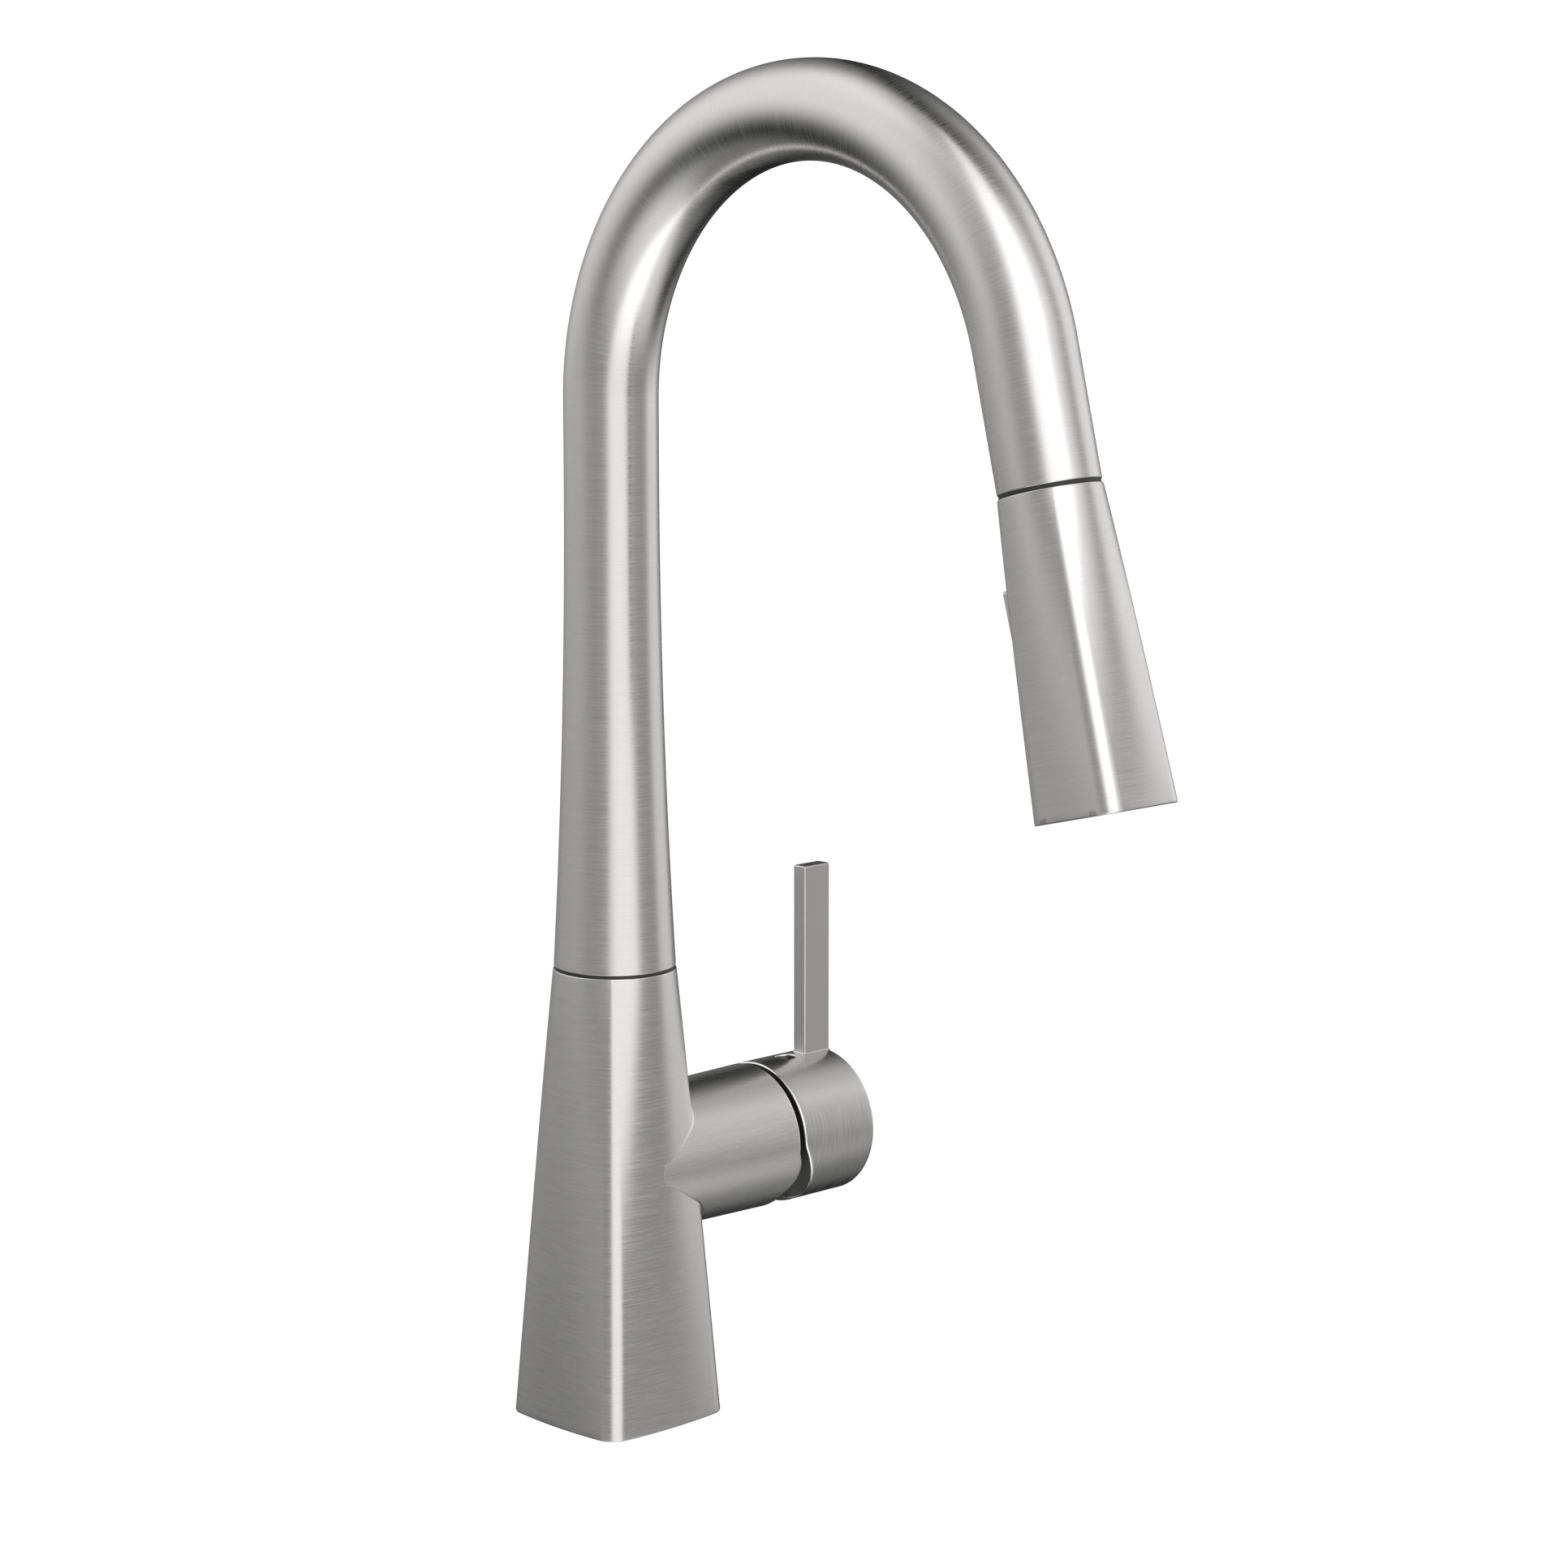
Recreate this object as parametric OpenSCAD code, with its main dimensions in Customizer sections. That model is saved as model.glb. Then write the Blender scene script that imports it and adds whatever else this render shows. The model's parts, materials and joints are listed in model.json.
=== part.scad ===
// Pull down kitchen faucet: a tapered base body with a side lever valve, a swivelling high-arc
// spout and a pull-out spray head on a hose.
// Millimetres. +Z is up, the deck plane is z = 0 and the origin is the centre of the base on it.
// The spout reaches toward -Y and the valve sticks out toward +X.

/* [Base body] */
// Height of the base body, up to the swivel seam
body_h = 140.8; // [140:0.1:142]
// Half width of the base at the deck, at the middle of a side
body_half = 25.5; // [25:0.1:27]
// Radius of the gentle bulge of the base's sides
body_bulge_r = 161.6; // [120:1:250]
// Radius that rounds the body's upright corners
body_corner_r = 6.5; // [5:0.5:8]
// Radius of the body and the spout at the swivel seam
seam_r = 18.7; // [18.4:0.1:19.4]

/* [Spout] */
// Outside radius of the spout tube
tube_r = 14.3; // [14.2:0.1:14.6]
// Wall of the spout tube
tube_wall = 1.4; // [1.2:0.1:1.5]
// Radius of the arch, on the tube's centre line
arch_r = 84.3; // [80:0.1:95]
// Height at which the column turns into the arch
spring_z = 314.2; // [310:0.1:330]
// Angle that the arch sweeps through
arch_sweep = 166; // [160:1:172]
// Straight tube after the arch
outlet_len = 38.0; // [38:0.1:45]
// Height at which the column starts to flare
flare_z = 295.5; // [290:0.5:305]

/* [Spray head] */
// Length of the spray head
head_len = 87.7; // [87.5:0.1:90]
// Half width of the head's lower end, at the middle of a side
head_half = 15.7; // [15.4:0.1:16.4]
// Radius of the bulge of the head's sides
head_bulge_r = 151.8; // [120:1:220]
// Radius that rounds the head's corners
head_corner_r = 5.6; // [5:0.1:7]
// Width of the spray toggle
toggle_w = 15.0; // [14:0.5:15]
// Length of the spray toggle
toggle_len = 37.8; // [34:0.1:38]

/* [Valve and handle] */
// Height of the valve's axis
valve_z = 77.9; // [76:0.1:80]
// Outside radius of the valve sleeve at its end
sleeve_r = 23.0; // [22.8:0.1:23.2]
// Distance of the sleeve's end from the column's axis
sleeve_end_x = 57.6; // [57.4:0.1:57.8]
// Outside radius of the handle's cap
cap_r = 23.1; // [22.8:0.1:23.4]
// Length of the handle's cap
cap_len = 30.7; // [30:0.1:34]
// Angle at which the cap's lower rim is cut back, to let the lever tilt
cap_cut = 25; // [24:1:26]
// Width of the lever
lever_w = 11.3; // [9:0.1:11.4]
// Thickness of the lever
lever_t = 5.2; // [4.5:0.1:7]
// Height of the lever's tip
lever_top_z = 162.2; // [150:0.1:175]

/* [Hose and connections] */
// Outside radius of the spray hose
hose_r = 6.0; // [5.6:0.1:6]
// Bore of the spray hose
hose_bore_r = 3.5; // [3:0.1:3.6]
// Radius of the threaded socket for the mounting shank
shank_r = 16.0; // [16:0.1:16.4]
// Depth of the shank socket
shank_depth = 14; // [12:1:15]
// Thread radius of the hot and cold inlet ports
inlet_r = 4.46; // [4:0.01:4.46]
// Depth of the inlet ports
inlet_depth = 10; // [8:1:10]

/* [Hidden] */
$fn = 96;
eps = 0.01;             // overshoot of a cutting shape
seam_gap = 0.9;         // height of the dark line at the swivel seam
running = 0.06;         // radial clearance of a shaft in its bearing
lap = 0.2;              // how far the outlet's straight tube reaches into the arch
lap_step = 0.1;         // how much slimmer that tube is, so that the two overlap cleanly

// base body
loft_over = 4;          // the loft would become a true circle this far past the seam
side_n = 8;             // steps along one side of a loft section
corner_n = 6;           // steps round one corner of a loft section
body_loft_r = body_half - (body_half - seam_r) * (body_h + loft_over) / body_h;
cavity_r = 17.5;
cavity_top = 104;
post_thread_r = 14.5;
flange_r = 16.5;
flange_z = 134;
gasket_in_r = 17.6;
gasket_out_r = 22;
gasket_t = 2;

// valve: distances are along +X from the column's axis, ports are [y, z] from the valve's axis
sleeve_start_x = 3;
sleeve_start_r = 22.0;
floor_x = 22;
bore_r = 17.7;
nut_r = 20.2;
nut_x = 52;
nut_end_x = 57.2;
chin_len = 1.2;         // how far the sleeve's end stands out on each lower side
chin_top = -6;          // the chin's top and bottom, from the valve's axis
chin_bottom = -16;
inlet_port_r = 2.2;
inlet_port_y = 6.5;
inlet_port_z = -3.5;
outlet_port_r = 2.6;
outlet_port_z = 7;
ports = [
  [inlet_port_y, inlet_port_z, inlet_port_r],
  [-inlet_port_y, inlet_port_z, inlet_port_r],
  [0, outlet_port_z, outlet_port_r]
];
screw_y = 12;
screw_z = 6;
screw_r = 1.5;
screw_head_r = 2.8;
peg_z = -12;            // locating peg of the cartridge
peg_r = 1.4;
base_disc_x = 23;
housing_r = 17.5;
housing_bore_r = 14.6;
fixed_disc_x = 28;
moving_disc_x = 31.5;
driver_x = 33.8;
driver_end_x = 39.5;
carriage_x = 40;
neck_x = 48;
neck_end_x = 55;
neck_r = 10.6;
carriage_ring_x = 43;
ring_groove = 1.2;      // depth and width of the carriage's O-ring groove
ring_w = 2;
pivot_x = 50;
pivot_pin_r = 1.5;
stem_w = 7;
stem_end_x = 79;
ball_x = 37.7;
ball_r = 3.2;
disc_r = 12.1;
disc_drop = 2.1;        // the moving disc starts this far below the valve's axis
recess_r = 6.2;
recess_depth = 1.2;

// handle
cap_x = sleeve_end_x + 2.1;
cap_end_x = cap_x + cap_len;
cap_bore_r = 17.6;
cap_floor_x = 81;
hub_x = 64;
hub_r = 8.5;
cap_edge = 0.6;
screw_hole_x = 73;
screw_hole_r = 3.35;
set_screw_r = 2.4;
lever_x = cap_end_x + 0.2 - lever_w;
tenon_x = 82.5;
tenon_w = 6;
tenon_t = 4;
tenon_depth = 9;

// waterways inside the body
block_r = 17.3;
block_in_r = 6.8;
block_z = 60;
block_top = 96;
riser_at = 11.3;        // distance of the risers from the column's axis
riser_turn = 60;
copper_r = 3.8;
copper_bore_r = 3.0;
passage_r = 2.8;
outlet_tube_z = 18;     // lower end of the copper outlet tube
inlet_port_x = 6.5;     // where the inlets' passages to the valve start

// swivel
post_r = 12.0;
post_bore_r = 8.4;
post_top = 204;
glide_r = 12.5;
glide_groove_r = 11.3;
glide_h = 6;
glide_z = [150, 190];
sleeve_bottom = 143;
sleeve_top = 200;
clip_z = 200.3;
clip_t = 1.2;
clip_groove_r = 11;

// spout
spout_z = body_h + seam_gap;
flare_arc_r = (pow(flare_z - spout_z, 2) + pow(seam_r - tube_r, 2)) / (2 * (seam_r - tube_r));
flare_n = 14;
arch_end_y = -arch_r * (1 - cos(arch_sweep));
arch_end_z = spring_z + arch_r * sin(arch_sweep);
bore_tube_r = tube_r - tube_wall;

// outlet and spray head: distances are along the outlet from the end of the arch
dock_flange_r = 14.0;
dock_flange_t = 1.0;
dock_bore_r = 8.8;
magnet_in_r = 9.6;
magnet_out_r = 12.0;
magnet_at = 34;
hose_end_at = 26;
hose_start_z = 30;
connector_z = 16.5;
connector_socket_r = 4.2;
connector_bore_r = 2.4;
crimp_z = 32;
crimp_len = 16;
crimp_wall = 0.5;
ferrule_len = 14;
ferrule_wall = 1.0;
tail_r = 4.6;
tail_bore_r = 2.8;
tail_flange_at = 36;
tail_end_at = 44;
tail_fit = 0.09;        // radial clearance round the tail
tail_ring_at = 40;
tail_ring_w = 2;
tail_groove = 0.8;
nut_start_at = 31;
nut_end_at = 43;
swivel_nut_r = 8.4;
nipple_at = 38.4;
nipple_flange_at = 46;
nipple_r = 6.6;
nipple_bore_r = 3.2;
screen_at = 44.2;
head_at = outlet_len + dock_flange_t + 0.1;
head_end_at = head_at + head_len;
head_bore_r = 12.4;
head_bore_at = 43.2;
face_bore_r = 13;
face_bore_at = 118;
core_r = 12.2;
core_at = 50;
core_end_at = 112;
valve_bore_r = 5.7;
valve_bore_end = 63;
spool_r = 3.3;
spool_at = 70;
spool_end_at = 96;
spool_ring_at = [74, 90];
spool_ring_r = 2.3;
spool_ring_w = 1.6;
toggle_at = 63;
toggle_mid = toggle_at + toggle_len / 2;
toggle_pin_y = -8;
toggle_pin_r = 1.0;
toggle_tip_y = -2.95;
toggle_top_y = -16.55;  // outer face of the toggle at its top and its bottom
toggle_low_y = -15.5;
toggle_edge = 0.4;
lug_w = 2.5;
lug_r = 2.2;
toggle_tip_r = 1.1;
window_gap = 0.2;
face_at = 120;
face_end_at = head_end_at - 1;
aerator_r = 6.0;
nozzle_r = 0.9;
nozzle_rings = [[8.3, 10], [10.7, 14]];  // [radius, number of nozzles]

// check valve
check_at = 51;
check_len = 11;
seat_r = 2.6;
poppet_at = 52.6;
poppet_r = 3.6;
poppet_t = 1.4;
poppet_stem_r = 1.2;

// check valve's spring
spring_at = 54.1;
spring_r = 2.3;
wire_r = 0.3;
spring_turns = 4;
spring_len = 4.6;
spring_steps = 16;      // steps of the helix per turn
wire_n = 8;             // sides of the wire

// colours
STEEL = [0.70, 0.70, 0.69];
DARK_STEEL = [0.45, 0.45, 0.45];
BRASS = [0.78, 0.63, 0.33];
COPPER = [0.72, 0.43, 0.25];
BLACK = [0.08, 0.08, 0.08];
GREY = [0.32, 0.32, 0.33];
WHITE = [0.90, 0.90, 0.88];
CERAMIC = [0.93, 0.91, 0.86];
BLUE = [0.20, 0.32, 0.60];

// ---------------------------------------------------------------- shared shapes

// A round tube that stands on z = 0
module ring(inner, outer, h) {
  difference() {
    cylinder(r = outer, h = h);
    translate([0, 0, -eps]) cylinder(r = inner, h = h + 2 * eps);
  }
}

// Places children on the outlet's axis, z along the flow, d from the end of the arch
module on_outlet(d) {
  translate([0, arch_end_y, arch_end_z]) rotate([arch_sweep, 0, 0]) translate([0, 0, d]) children();
}

// Places children on the valve's axis, z toward the handle
module on_valve(x) {
  translate([x, 0, valve_z]) rotate([0, 90, 0]) children();
}

// Places children at [y, z] from the valve's axis, z toward the handle
module on_valve_at(x, yz) {
  translate([x, yz[0], valve_z + yz[1]]) rotate([0, 90, 0]) children();
}

// Places children on the toggle's pin, z toward +X
module on_pin(x) {
  on_outlet(toggle_mid) translate([x, toggle_pin_y, 0]) rotate([0, 90, 0]) children();
}

// The tube's arch as a solid of radius r
module arch(r) {
  translate([0, -arch_r, spring_z]) rotate([90, 0, 90])
    rotate_extrude(angle = arch_sweep) translate([arch_r, 0]) circle(r = r);
}

// One section of the loft from a rounded, bulging square (t = 0) to a circle (t = 1). The sides
// are arcs of radius rho whose ends stand at the angle beta, and each corner is rounded.
function loft_section(t, half, bulge, corner, circle_r, z) =
  let (
    back0 = bulge - half,
    q0 = -back0 / 2 + sqrt(bulge * bulge / 2 - back0 * back0 / 4),
    beta0 = asin(q0 / bulge),
    len0 = bulge * beta0 * PI / 180,
    len1 = circle_r * PI / 4,
    q = (1 - t) * q0 + t * circle_r / sqrt(2),
    beta = atan2((1 - t) * len0 * sin(beta0) + t * len1 * sin(45),
                 (1 - t) * len0 * cos(beta0) + t * len1 * cos(45)),
    rho = q / sin(beta),
    back = rho * cos(beta) - q,
    c = -back / 2 + sqrt(pow(rho - corner, 2) / 2 - back * back / 4),
    th = atan2(c, c + back)
  )
  [for (k = [0:3]) each concat(
    [for (i = [0:side_n - 1]) let (a = -th + 2 * th * i / side_n)
      turned(k * 90, rho * cos(a) - back, rho * sin(a), z)],
    [for (i = [0:corner_n - 1]) let (a = th + (90 - 2 * th) * i / corner_n)
      turned(k * 90, c + corner * cos(a), c + corner * sin(a), z)]
  )];

function turned(a, x, y, z) = [x * cos(a) - y * sin(a), x * sin(a) + y * cos(a), z];

// The loft through a list of [t, z] levels, lowest first
module loft(levels, half, bulge, corner, circle_r) {
  n = 4 * (side_n + corner_n);
  last = len(levels) - 1;
  points = [for (l = levels) each loft_section(l[0], half, bulge, corner, circle_r, l[1])];
  walls = [for (k = [0:last - 1]) for (i = [0:n - 1])
    let (a = k * n + i, b = k * n + (i + 1) % n) each [[a, a + n, b], [b, a + n, b + n]]];
  polyhedron(points = points, convexity = 4,
    faces = concat(walls, [[for (i = [0:n - 1]) i]], [[for (i = [n - 1:-1:0]) last * n + i]]));
}

// Radius of the flared column at the height z
function flare_radius(z) =
  z >= flare_z ? tube_r : tube_r + flare_arc_r - sqrt(pow(flare_arc_r, 2) - pow(flare_z - z, 2));

// The column as a solid, inset by the wall, from z0 up to the arch
module column(z0, inset) {
  step = (flare_z - z0) / flare_n;
  rotate_extrude() polygon(concat(
    [[0, z0]],
    [for (i = [0:flare_n]) [flare_radius(z0 + i * step) - inset, z0 + i * step]],
    [[tube_r - inset, spring_z], [0, spring_z]]
  ));
}

// ---------------------------------------------------------------- base

module base_body() color(STEEL) {
  difference() {
    union() {
      loft([for (f = [0, 0.15, 0.3, 0.45, 0.6, 0.74, 0.86, 0.94, 1])
              [f * body_h / (body_h + loft_over), f * body_h]],
           body_half, body_bulge_r, body_corner_r, body_loft_r);
      on_valve(sleeve_start_x)
        cylinder(r1 = sleeve_start_r, r2 = sleeve_r, h = sleeve_end_x - sleeve_start_x);
      sleeve_chin();
    }
    translate([0, 0, -eps]) cylinder(r = shank_r, h = shank_depth + 2 * eps);
    translate([0, 0, shank_depth]) cylinder(r = cavity_r, h = cavity_top - shank_depth);
    translate([0, 0, cavity_top - eps]) cylinder(r = post_thread_r, h = flange_z - cavity_top + 2 * eps);
    translate([0, 0, flange_z]) cylinder(r = flange_r, h = body_h);
    translate([0, 0, -1]) ring(gasket_in_r, gasket_out_r, gasket_t + 1);
    on_valve(floor_x) cylinder(r = bore_r, h = sleeve_end_x);
    on_valve(nut_x) cylinder(r = nut_r, h = sleeve_end_x);
    for (p = ports) on_valve_at(cavity_r - 8, p) cylinder(r = p[2], h = floor_x);
    for (s = [-1, 1]) {
      on_valve_at(8, [s * screw_y, screw_z]) cylinder(r = screw_r, h = floor_x);
      on_valve_at(floor_x - 2, [s * screw_y, screw_z]) cylinder(r = screw_head_r, h = 3);
    }
    on_valve_at(floor_x - 2.5, [0, peg_z]) cylinder(r = peg_r, h = 3);
  }
}

// Lower sides of the sleeve's end, which stand out under the handle
module sleeve_chin() {
  intersection() {
    on_valve(sleeve_end_x - 1) ring(nut_r, sleeve_r, chin_len + 1);
    translate([sleeve_end_x - 2, -sleeve_r, valve_z + chin_bottom])
      cube([chin_len + 4, 2 * sleeve_r, chin_top - chin_bottom]);
  }
}

module deck_gasket() color(BLACK) ring(gasket_in_r + 0.2, gasket_out_r - 0.2, gasket_t);

// Half-ring block that joins the inlets and the outlet to the ports in the valve's floor
module waterway_block() color(BRASS) {
  difference() {
    translate([0, 0, block_z]) ring(block_in_r, block_r, block_top - block_z);
    translate([-2 * block_r, -2 * block_r, 0]) cube([2 * block_r, 4 * block_r, 2 * block_top]);
    for (s = [-1, 1]) {
      rotate([0, 0, s * riser_turn]) translate([riser_at, 0, block_z - eps]) {
        cylinder(r = inlet_r, h = inlet_depth + eps);
        cylinder(r = passage_r, h = valve_z + inlet_port_z + 1 - block_z);
      }
      on_valve_at(4, [s * screw_y, screw_z]) cylinder(r = screw_r, h = floor_x);
    }
    translate([riser_at, 0, block_z - eps]) {
      cylinder(r = copper_r, h = 8 + eps);
      cylinder(r = passage_r, h = valve_z + outlet_port_z + 1 - block_z);
    }
    for (p = [ports[0], ports[1]]) on_valve_at(inlet_port_x, p) cylinder(r = p[2], h = floor_x);
    on_valve_at(riser_at, ports[2]) cylinder(r = outlet_port_r, h = floor_x);
  }
}

module waterway_screws() color(DARK_STEEL) {
  for (s = [-1, 1]) difference() {
    union() {
      on_valve_at(5, [s * screw_y, screw_z]) cylinder(r = screw_r, h = floor_x - 2 - 5);
      on_valve_at(floor_x - 2, [s * screw_y, screw_z]) cylinder(r = screw_head_r - 0.1, h = 1.9);
    }
    on_valve_at(floor_x - 1.2, [s * screw_y, screw_z]) cylinder(r = 1.25, h = 2, $fn = 6);
  }
}

module outlet_tube() color(COPPER) {
  difference() {
    union() {
      translate([riser_at, 0, outlet_tube_z]) cylinder(r = copper_r, h = block_z + 8 - outlet_tube_z);
      translate([riser_at, 0, outlet_tube_z + 6]) cylinder(r = copper_r + 0.4, h = 2);
    }
    translate([riser_at, 0, outlet_tube_z - 1]) cylinder(r = copper_bore_r, h = block_z);
  }
}

// Brass post that the spout turns on, screwed into the body's top
module spout_post() color(BRASS) {
  difference() {
    union() {
      translate([0, 0, cavity_top + 4]) cylinder(r = post_thread_r, h = flange_z - cavity_top - 4);
      translate([0, 0, flange_z]) cylinder(r = flange_r, h = body_h - flange_z);
      translate([0, 0, body_h]) cylinder(r = post_r, h = post_top - body_h);
    }
    translate([0, 0, cavity_top]) cylinder(r = post_bore_r, h = post_top);
    for (z = glide_z) translate([0, 0, z]) ring(glide_groove_r, post_r + 1, glide_h);
    translate([0, 0, clip_z]) ring(clip_groove_r, post_r + 1, clip_t);
  }
}

module swivel_washer() color(BLACK) translate([0, 0, body_h]) ring(post_r, seam_r - 0.5, seam_gap - 0.1);

module glide_ring(z) color(WHITE) translate([0, 0, z]) ring(glide_groove_r, glide_r, glide_h);
module lower_glide_ring() glide_ring(glide_z[0]);
module upper_glide_ring() glide_ring(glide_z[1]);

// Open spring clip that keeps the spout on its post
module retaining_clip() color(DARK_STEEL) {
  translate([0, 0, clip_z]) difference() {
    ring(clip_groove_r, post_r + 1.6, clip_t);
    translate([0, -6, -1]) cube([2 * post_r, 12, 2 * clip_t + 2]);
  }
}

// Flared collar on top of the post that keeps the hose from chafing
module hose_guide() color(WHITE) {
  translate([0, 0, post_top]) difference() {
    union() {
      cylinder(r = post_r, h = 3);
      translate([0, 0, -6]) cylinder(r = post_bore_r, h = 7);
    }
    translate([0, 0, -7]) cylinder(r = hose_r + 0.9, h = 11);
    translate([0, 0, 1]) cylinder(r1 = hose_r + 0.9, r2 = hose_r + 3, h = 2 + eps);
  }
}

// ---------------------------------------------------------------- valve cartridge

module cartridge_port_seals() color(BLACK) {
  for (p = ports) on_valve_at(floor_x, p) ring(p[2], p[2] + 1, base_disc_x - floor_x);
}

module cartridge_base() color(GREY) {
  difference() {
    union() {
      on_valve(base_disc_x) cylinder(r = housing_r, h = fixed_disc_x - base_disc_x);
      on_valve_at(floor_x - 2.3, [0, peg_z]) cylinder(r = peg_r - 0.05, h = base_disc_x - floor_x + 2.4);
    }
    for (p = ports) on_valve_at(floor_x, p) cylinder(r = p[2], h = 10);
  }
}

module cartridge_housing() color(WHITE) {
  on_valve(fixed_disc_x) difference() {
    cylinder(r = housing_r, h = nut_x - fixed_disc_x);
    translate([0, 0, -eps]) cylinder(r = housing_bore_r, h = neck_x - fixed_disc_x + 0.3);
    cylinder(r = neck_r + 0.3, h = nut_x);
  }
}

module fixed_disc() color(CERAMIC) {
  difference() {
    on_valve(fixed_disc_x) cylinder(r = 14, h = moving_disc_x - fixed_disc_x);
    for (p = ports) on_valve_at(floor_x, p) cylinder(r = p[2], h = 20);
  }
}

// Its recess joins the inlets to the outlet once the lever is tilted, and the lobes meet the inlets
module moving_disc() color(CERAMIC) {
  difference() {
    on_valve_at(moving_disc_x, [0, -disc_drop]) cylinder(r = disc_r, h = driver_x - moving_disc_x);
    on_valve_at(moving_disc_x - 1, [0, -disc_drop]) cylinder(r = recess_r, h = recess_depth + 1);
    for (s = [-1, 1]) on_valve_at(moving_disc_x - 1, [s * inlet_port_y, inlet_port_z - disc_drop])
      cylinder(r = inlet_port_r, h = recess_depth + 1);
  }
}

// Plate behind the moving disc, with the pocket that the stem's ball pushes
module disc_driver() color(GREY) {
  difference() {
    on_valve_at(driver_x, [0, -disc_drop]) cylinder(r = 9.5, h = driver_end_x - driver_x);
    on_valve(ball_x) sphere(r = ball_r + 0.3);
    on_valve(ball_x) cylinder(r = ball_r + 0.3, h = 5);
  }
}

module cartridge_carriage() color(GREY) {
  difference() {
    union() {
      on_valve(carriage_x) cylinder(r = housing_bore_r - 0.4, h = neck_x - carriage_x);
      on_valve(neck_x) cylinder(r = neck_r, h = neck_end_x - neck_x);
    }
    translate([carriage_x - 1, -stem_w / 2 - 0.2, valve_z - 7.6]) cube([20, stem_w + 0.4, 15.2]);
    translate([pivot_x, -20, valve_z]) rotate([-90, 0, 0]) cylinder(r = pivot_pin_r, h = 40);
    on_valve(carriage_ring_x) ring(housing_bore_r - 0.4 - ring_groove, housing_bore_r + 1, ring_w);
  }
}

module carriage_oring() color(BLACK)
  on_valve(carriage_ring_x) ring(housing_bore_r - 0.4 - ring_groove, housing_bore_r - running, ring_w);

module stem_pin() color(DARK_STEEL)
  translate([pivot_x, -9.8, valve_z]) rotate([-90, 0, 0]) cylinder(r = pivot_pin_r, h = 19.6);

// Steel stem: a ball that drives the disc, a round neck and a square shank that takes the handle
module cartridge_stem() color(DARK_STEEL) {
  difference() {
    union() {
      on_valve(ball_x) sphere(r = ball_r);
      on_valve(ball_x) cylinder(r = 2.2, h = 10);
      translate([45, -stem_w / 2, valve_z - stem_w / 2]) cube([stem_end_x - 45, stem_w, stem_w]);
    }
    translate([pivot_x, -20, valve_z]) rotate([-90, 0, 0]) cylinder(r = pivot_pin_r + running, h = 40);
  }
}

module bonnet_nut() color(BLACK) {
  difference() {
    on_valve(nut_x) ring(11.6, nut_r, nut_end_x - nut_x);
    for (s = [-1, 1]) translate([nut_end_x - 2, -2, valve_z + s * 17.5 - 3]) cube([3, 4, 6]);
  }
}

// ---------------------------------------------------------------- handle

module handle_cap() color(STEEL) {
  difference() {
    union() {
      difference() {
        union() {
          on_valve(cap_x) cylinder(r = cap_r, h = cap_len - cap_edge);
          on_valve(cap_end_x - cap_edge) cylinder(r1 = cap_r, r2 = cap_r - cap_edge, h = cap_edge);
        }
        on_valve(cap_x - 1) cylinder(r = cap_bore_r, h = cap_floor_x - cap_x + 1);
      }
      on_valve(hub_x) cylinder(r = hub_r, h = cap_floor_x - hub_x + 1);
    }
    translate([hub_x - 1, -stem_w / 2, valve_z - stem_w / 2]) cube([stem_end_x - hub_x + 1, stem_w, stem_w]);
    translate([cap_x, 0, valve_z]) rotate([0, -cap_cut, 0]) translate([-40, -40, -80]) cube([40, 80, 80]);
    translate([screw_hole_x, 0, valve_z + hub_r + 1]) cylinder(r = screw_hole_r, h = cap_r);
    translate([screw_hole_x, 0, valve_z]) cylinder(r = set_screw_r, h = hub_r + 2);
    translate([tenon_x, -tenon_t / 2, valve_z + cap_r - tenon_depth])
      cube([tenon_w, tenon_t, tenon_depth + 1]);
  }
}

module handle_set_screw() color(DARK_STEEL) {
  translate([screw_hole_x, 0, valve_z + stem_w / 2]) difference() {
    cylinder(r = set_screw_r, h = 6);
    translate([0, 0, 3]) cylinder(r = 1.4, h = 4, $fn = 6);
  }
}

// Flat upright bar, with a tenon that goes into the cap
module lever() color(STEEL) {
  difference() {
    translate([lever_x, -lever_t / 2, valve_z]) cube([lever_w, lever_t, lever_top_z - valve_z]);
    on_valve(lever_x - 1) cylinder(r = cap_r, h = lever_w + 2);
  }
  translate([tenon_x, -tenon_t / 2, valve_z + cap_r - tenon_depth]) cube([tenon_w, tenon_t, tenon_depth + 2]);
}

// ---------------------------------------------------------------- spout

module spout_tube() color(STEEL) {
  difference() {
    union() {
      column(spout_z, 0);
      arch(tube_r);
      on_outlet(-lap) cylinder(r = tube_r - lap_step, h = outlet_len + lap);
    }
    column(spout_z - 0.2, tube_wall);
    arch(bore_tube_r);
    on_outlet(-lap) cylinder(r = bore_tube_r - lap_step, h = outlet_len + lap + 1);
  }
}

// Plastic bearing sleeve fixed in the bottom of the spout
module spout_swivel_sleeve() color(WHITE) {
  difference() {
    union() {
      translate([0, 0, sleeve_bottom]) cylinder(r = 13.6, h = sleeve_top - sleeve_bottom);
      for (z = [sleeve_bottom, sleeve_top - 4])
        translate([0, 0, z]) cylinder(r = flare_radius(z + 4) - tube_wall - 0.05, h = 4);
    }
    cylinder(r = glide_r + running, h = sleeve_top + 1);
  }
}

// Plastic seat in the end of the spout that the spray head docks against
module dock_collar() color(BLACK) {
  difference() {
    union() {
      on_outlet(20) cylinder(r = bore_tube_r - lap_step - 0.05, h = outlet_len - 20);
      on_outlet(outlet_len) cylinder(r = dock_flange_r, h = dock_flange_t);
    }
    on_outlet(19) cylinder(r = dock_bore_r, h = outlet_len);
    on_outlet(magnet_at) ring(magnet_in_r, magnet_out_r, outlet_len);
  }
}

module dock_magnet() color(DARK_STEEL) on_outlet(magnet_at) ring(magnet_in_r, magnet_out_r, 4.6);

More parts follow.
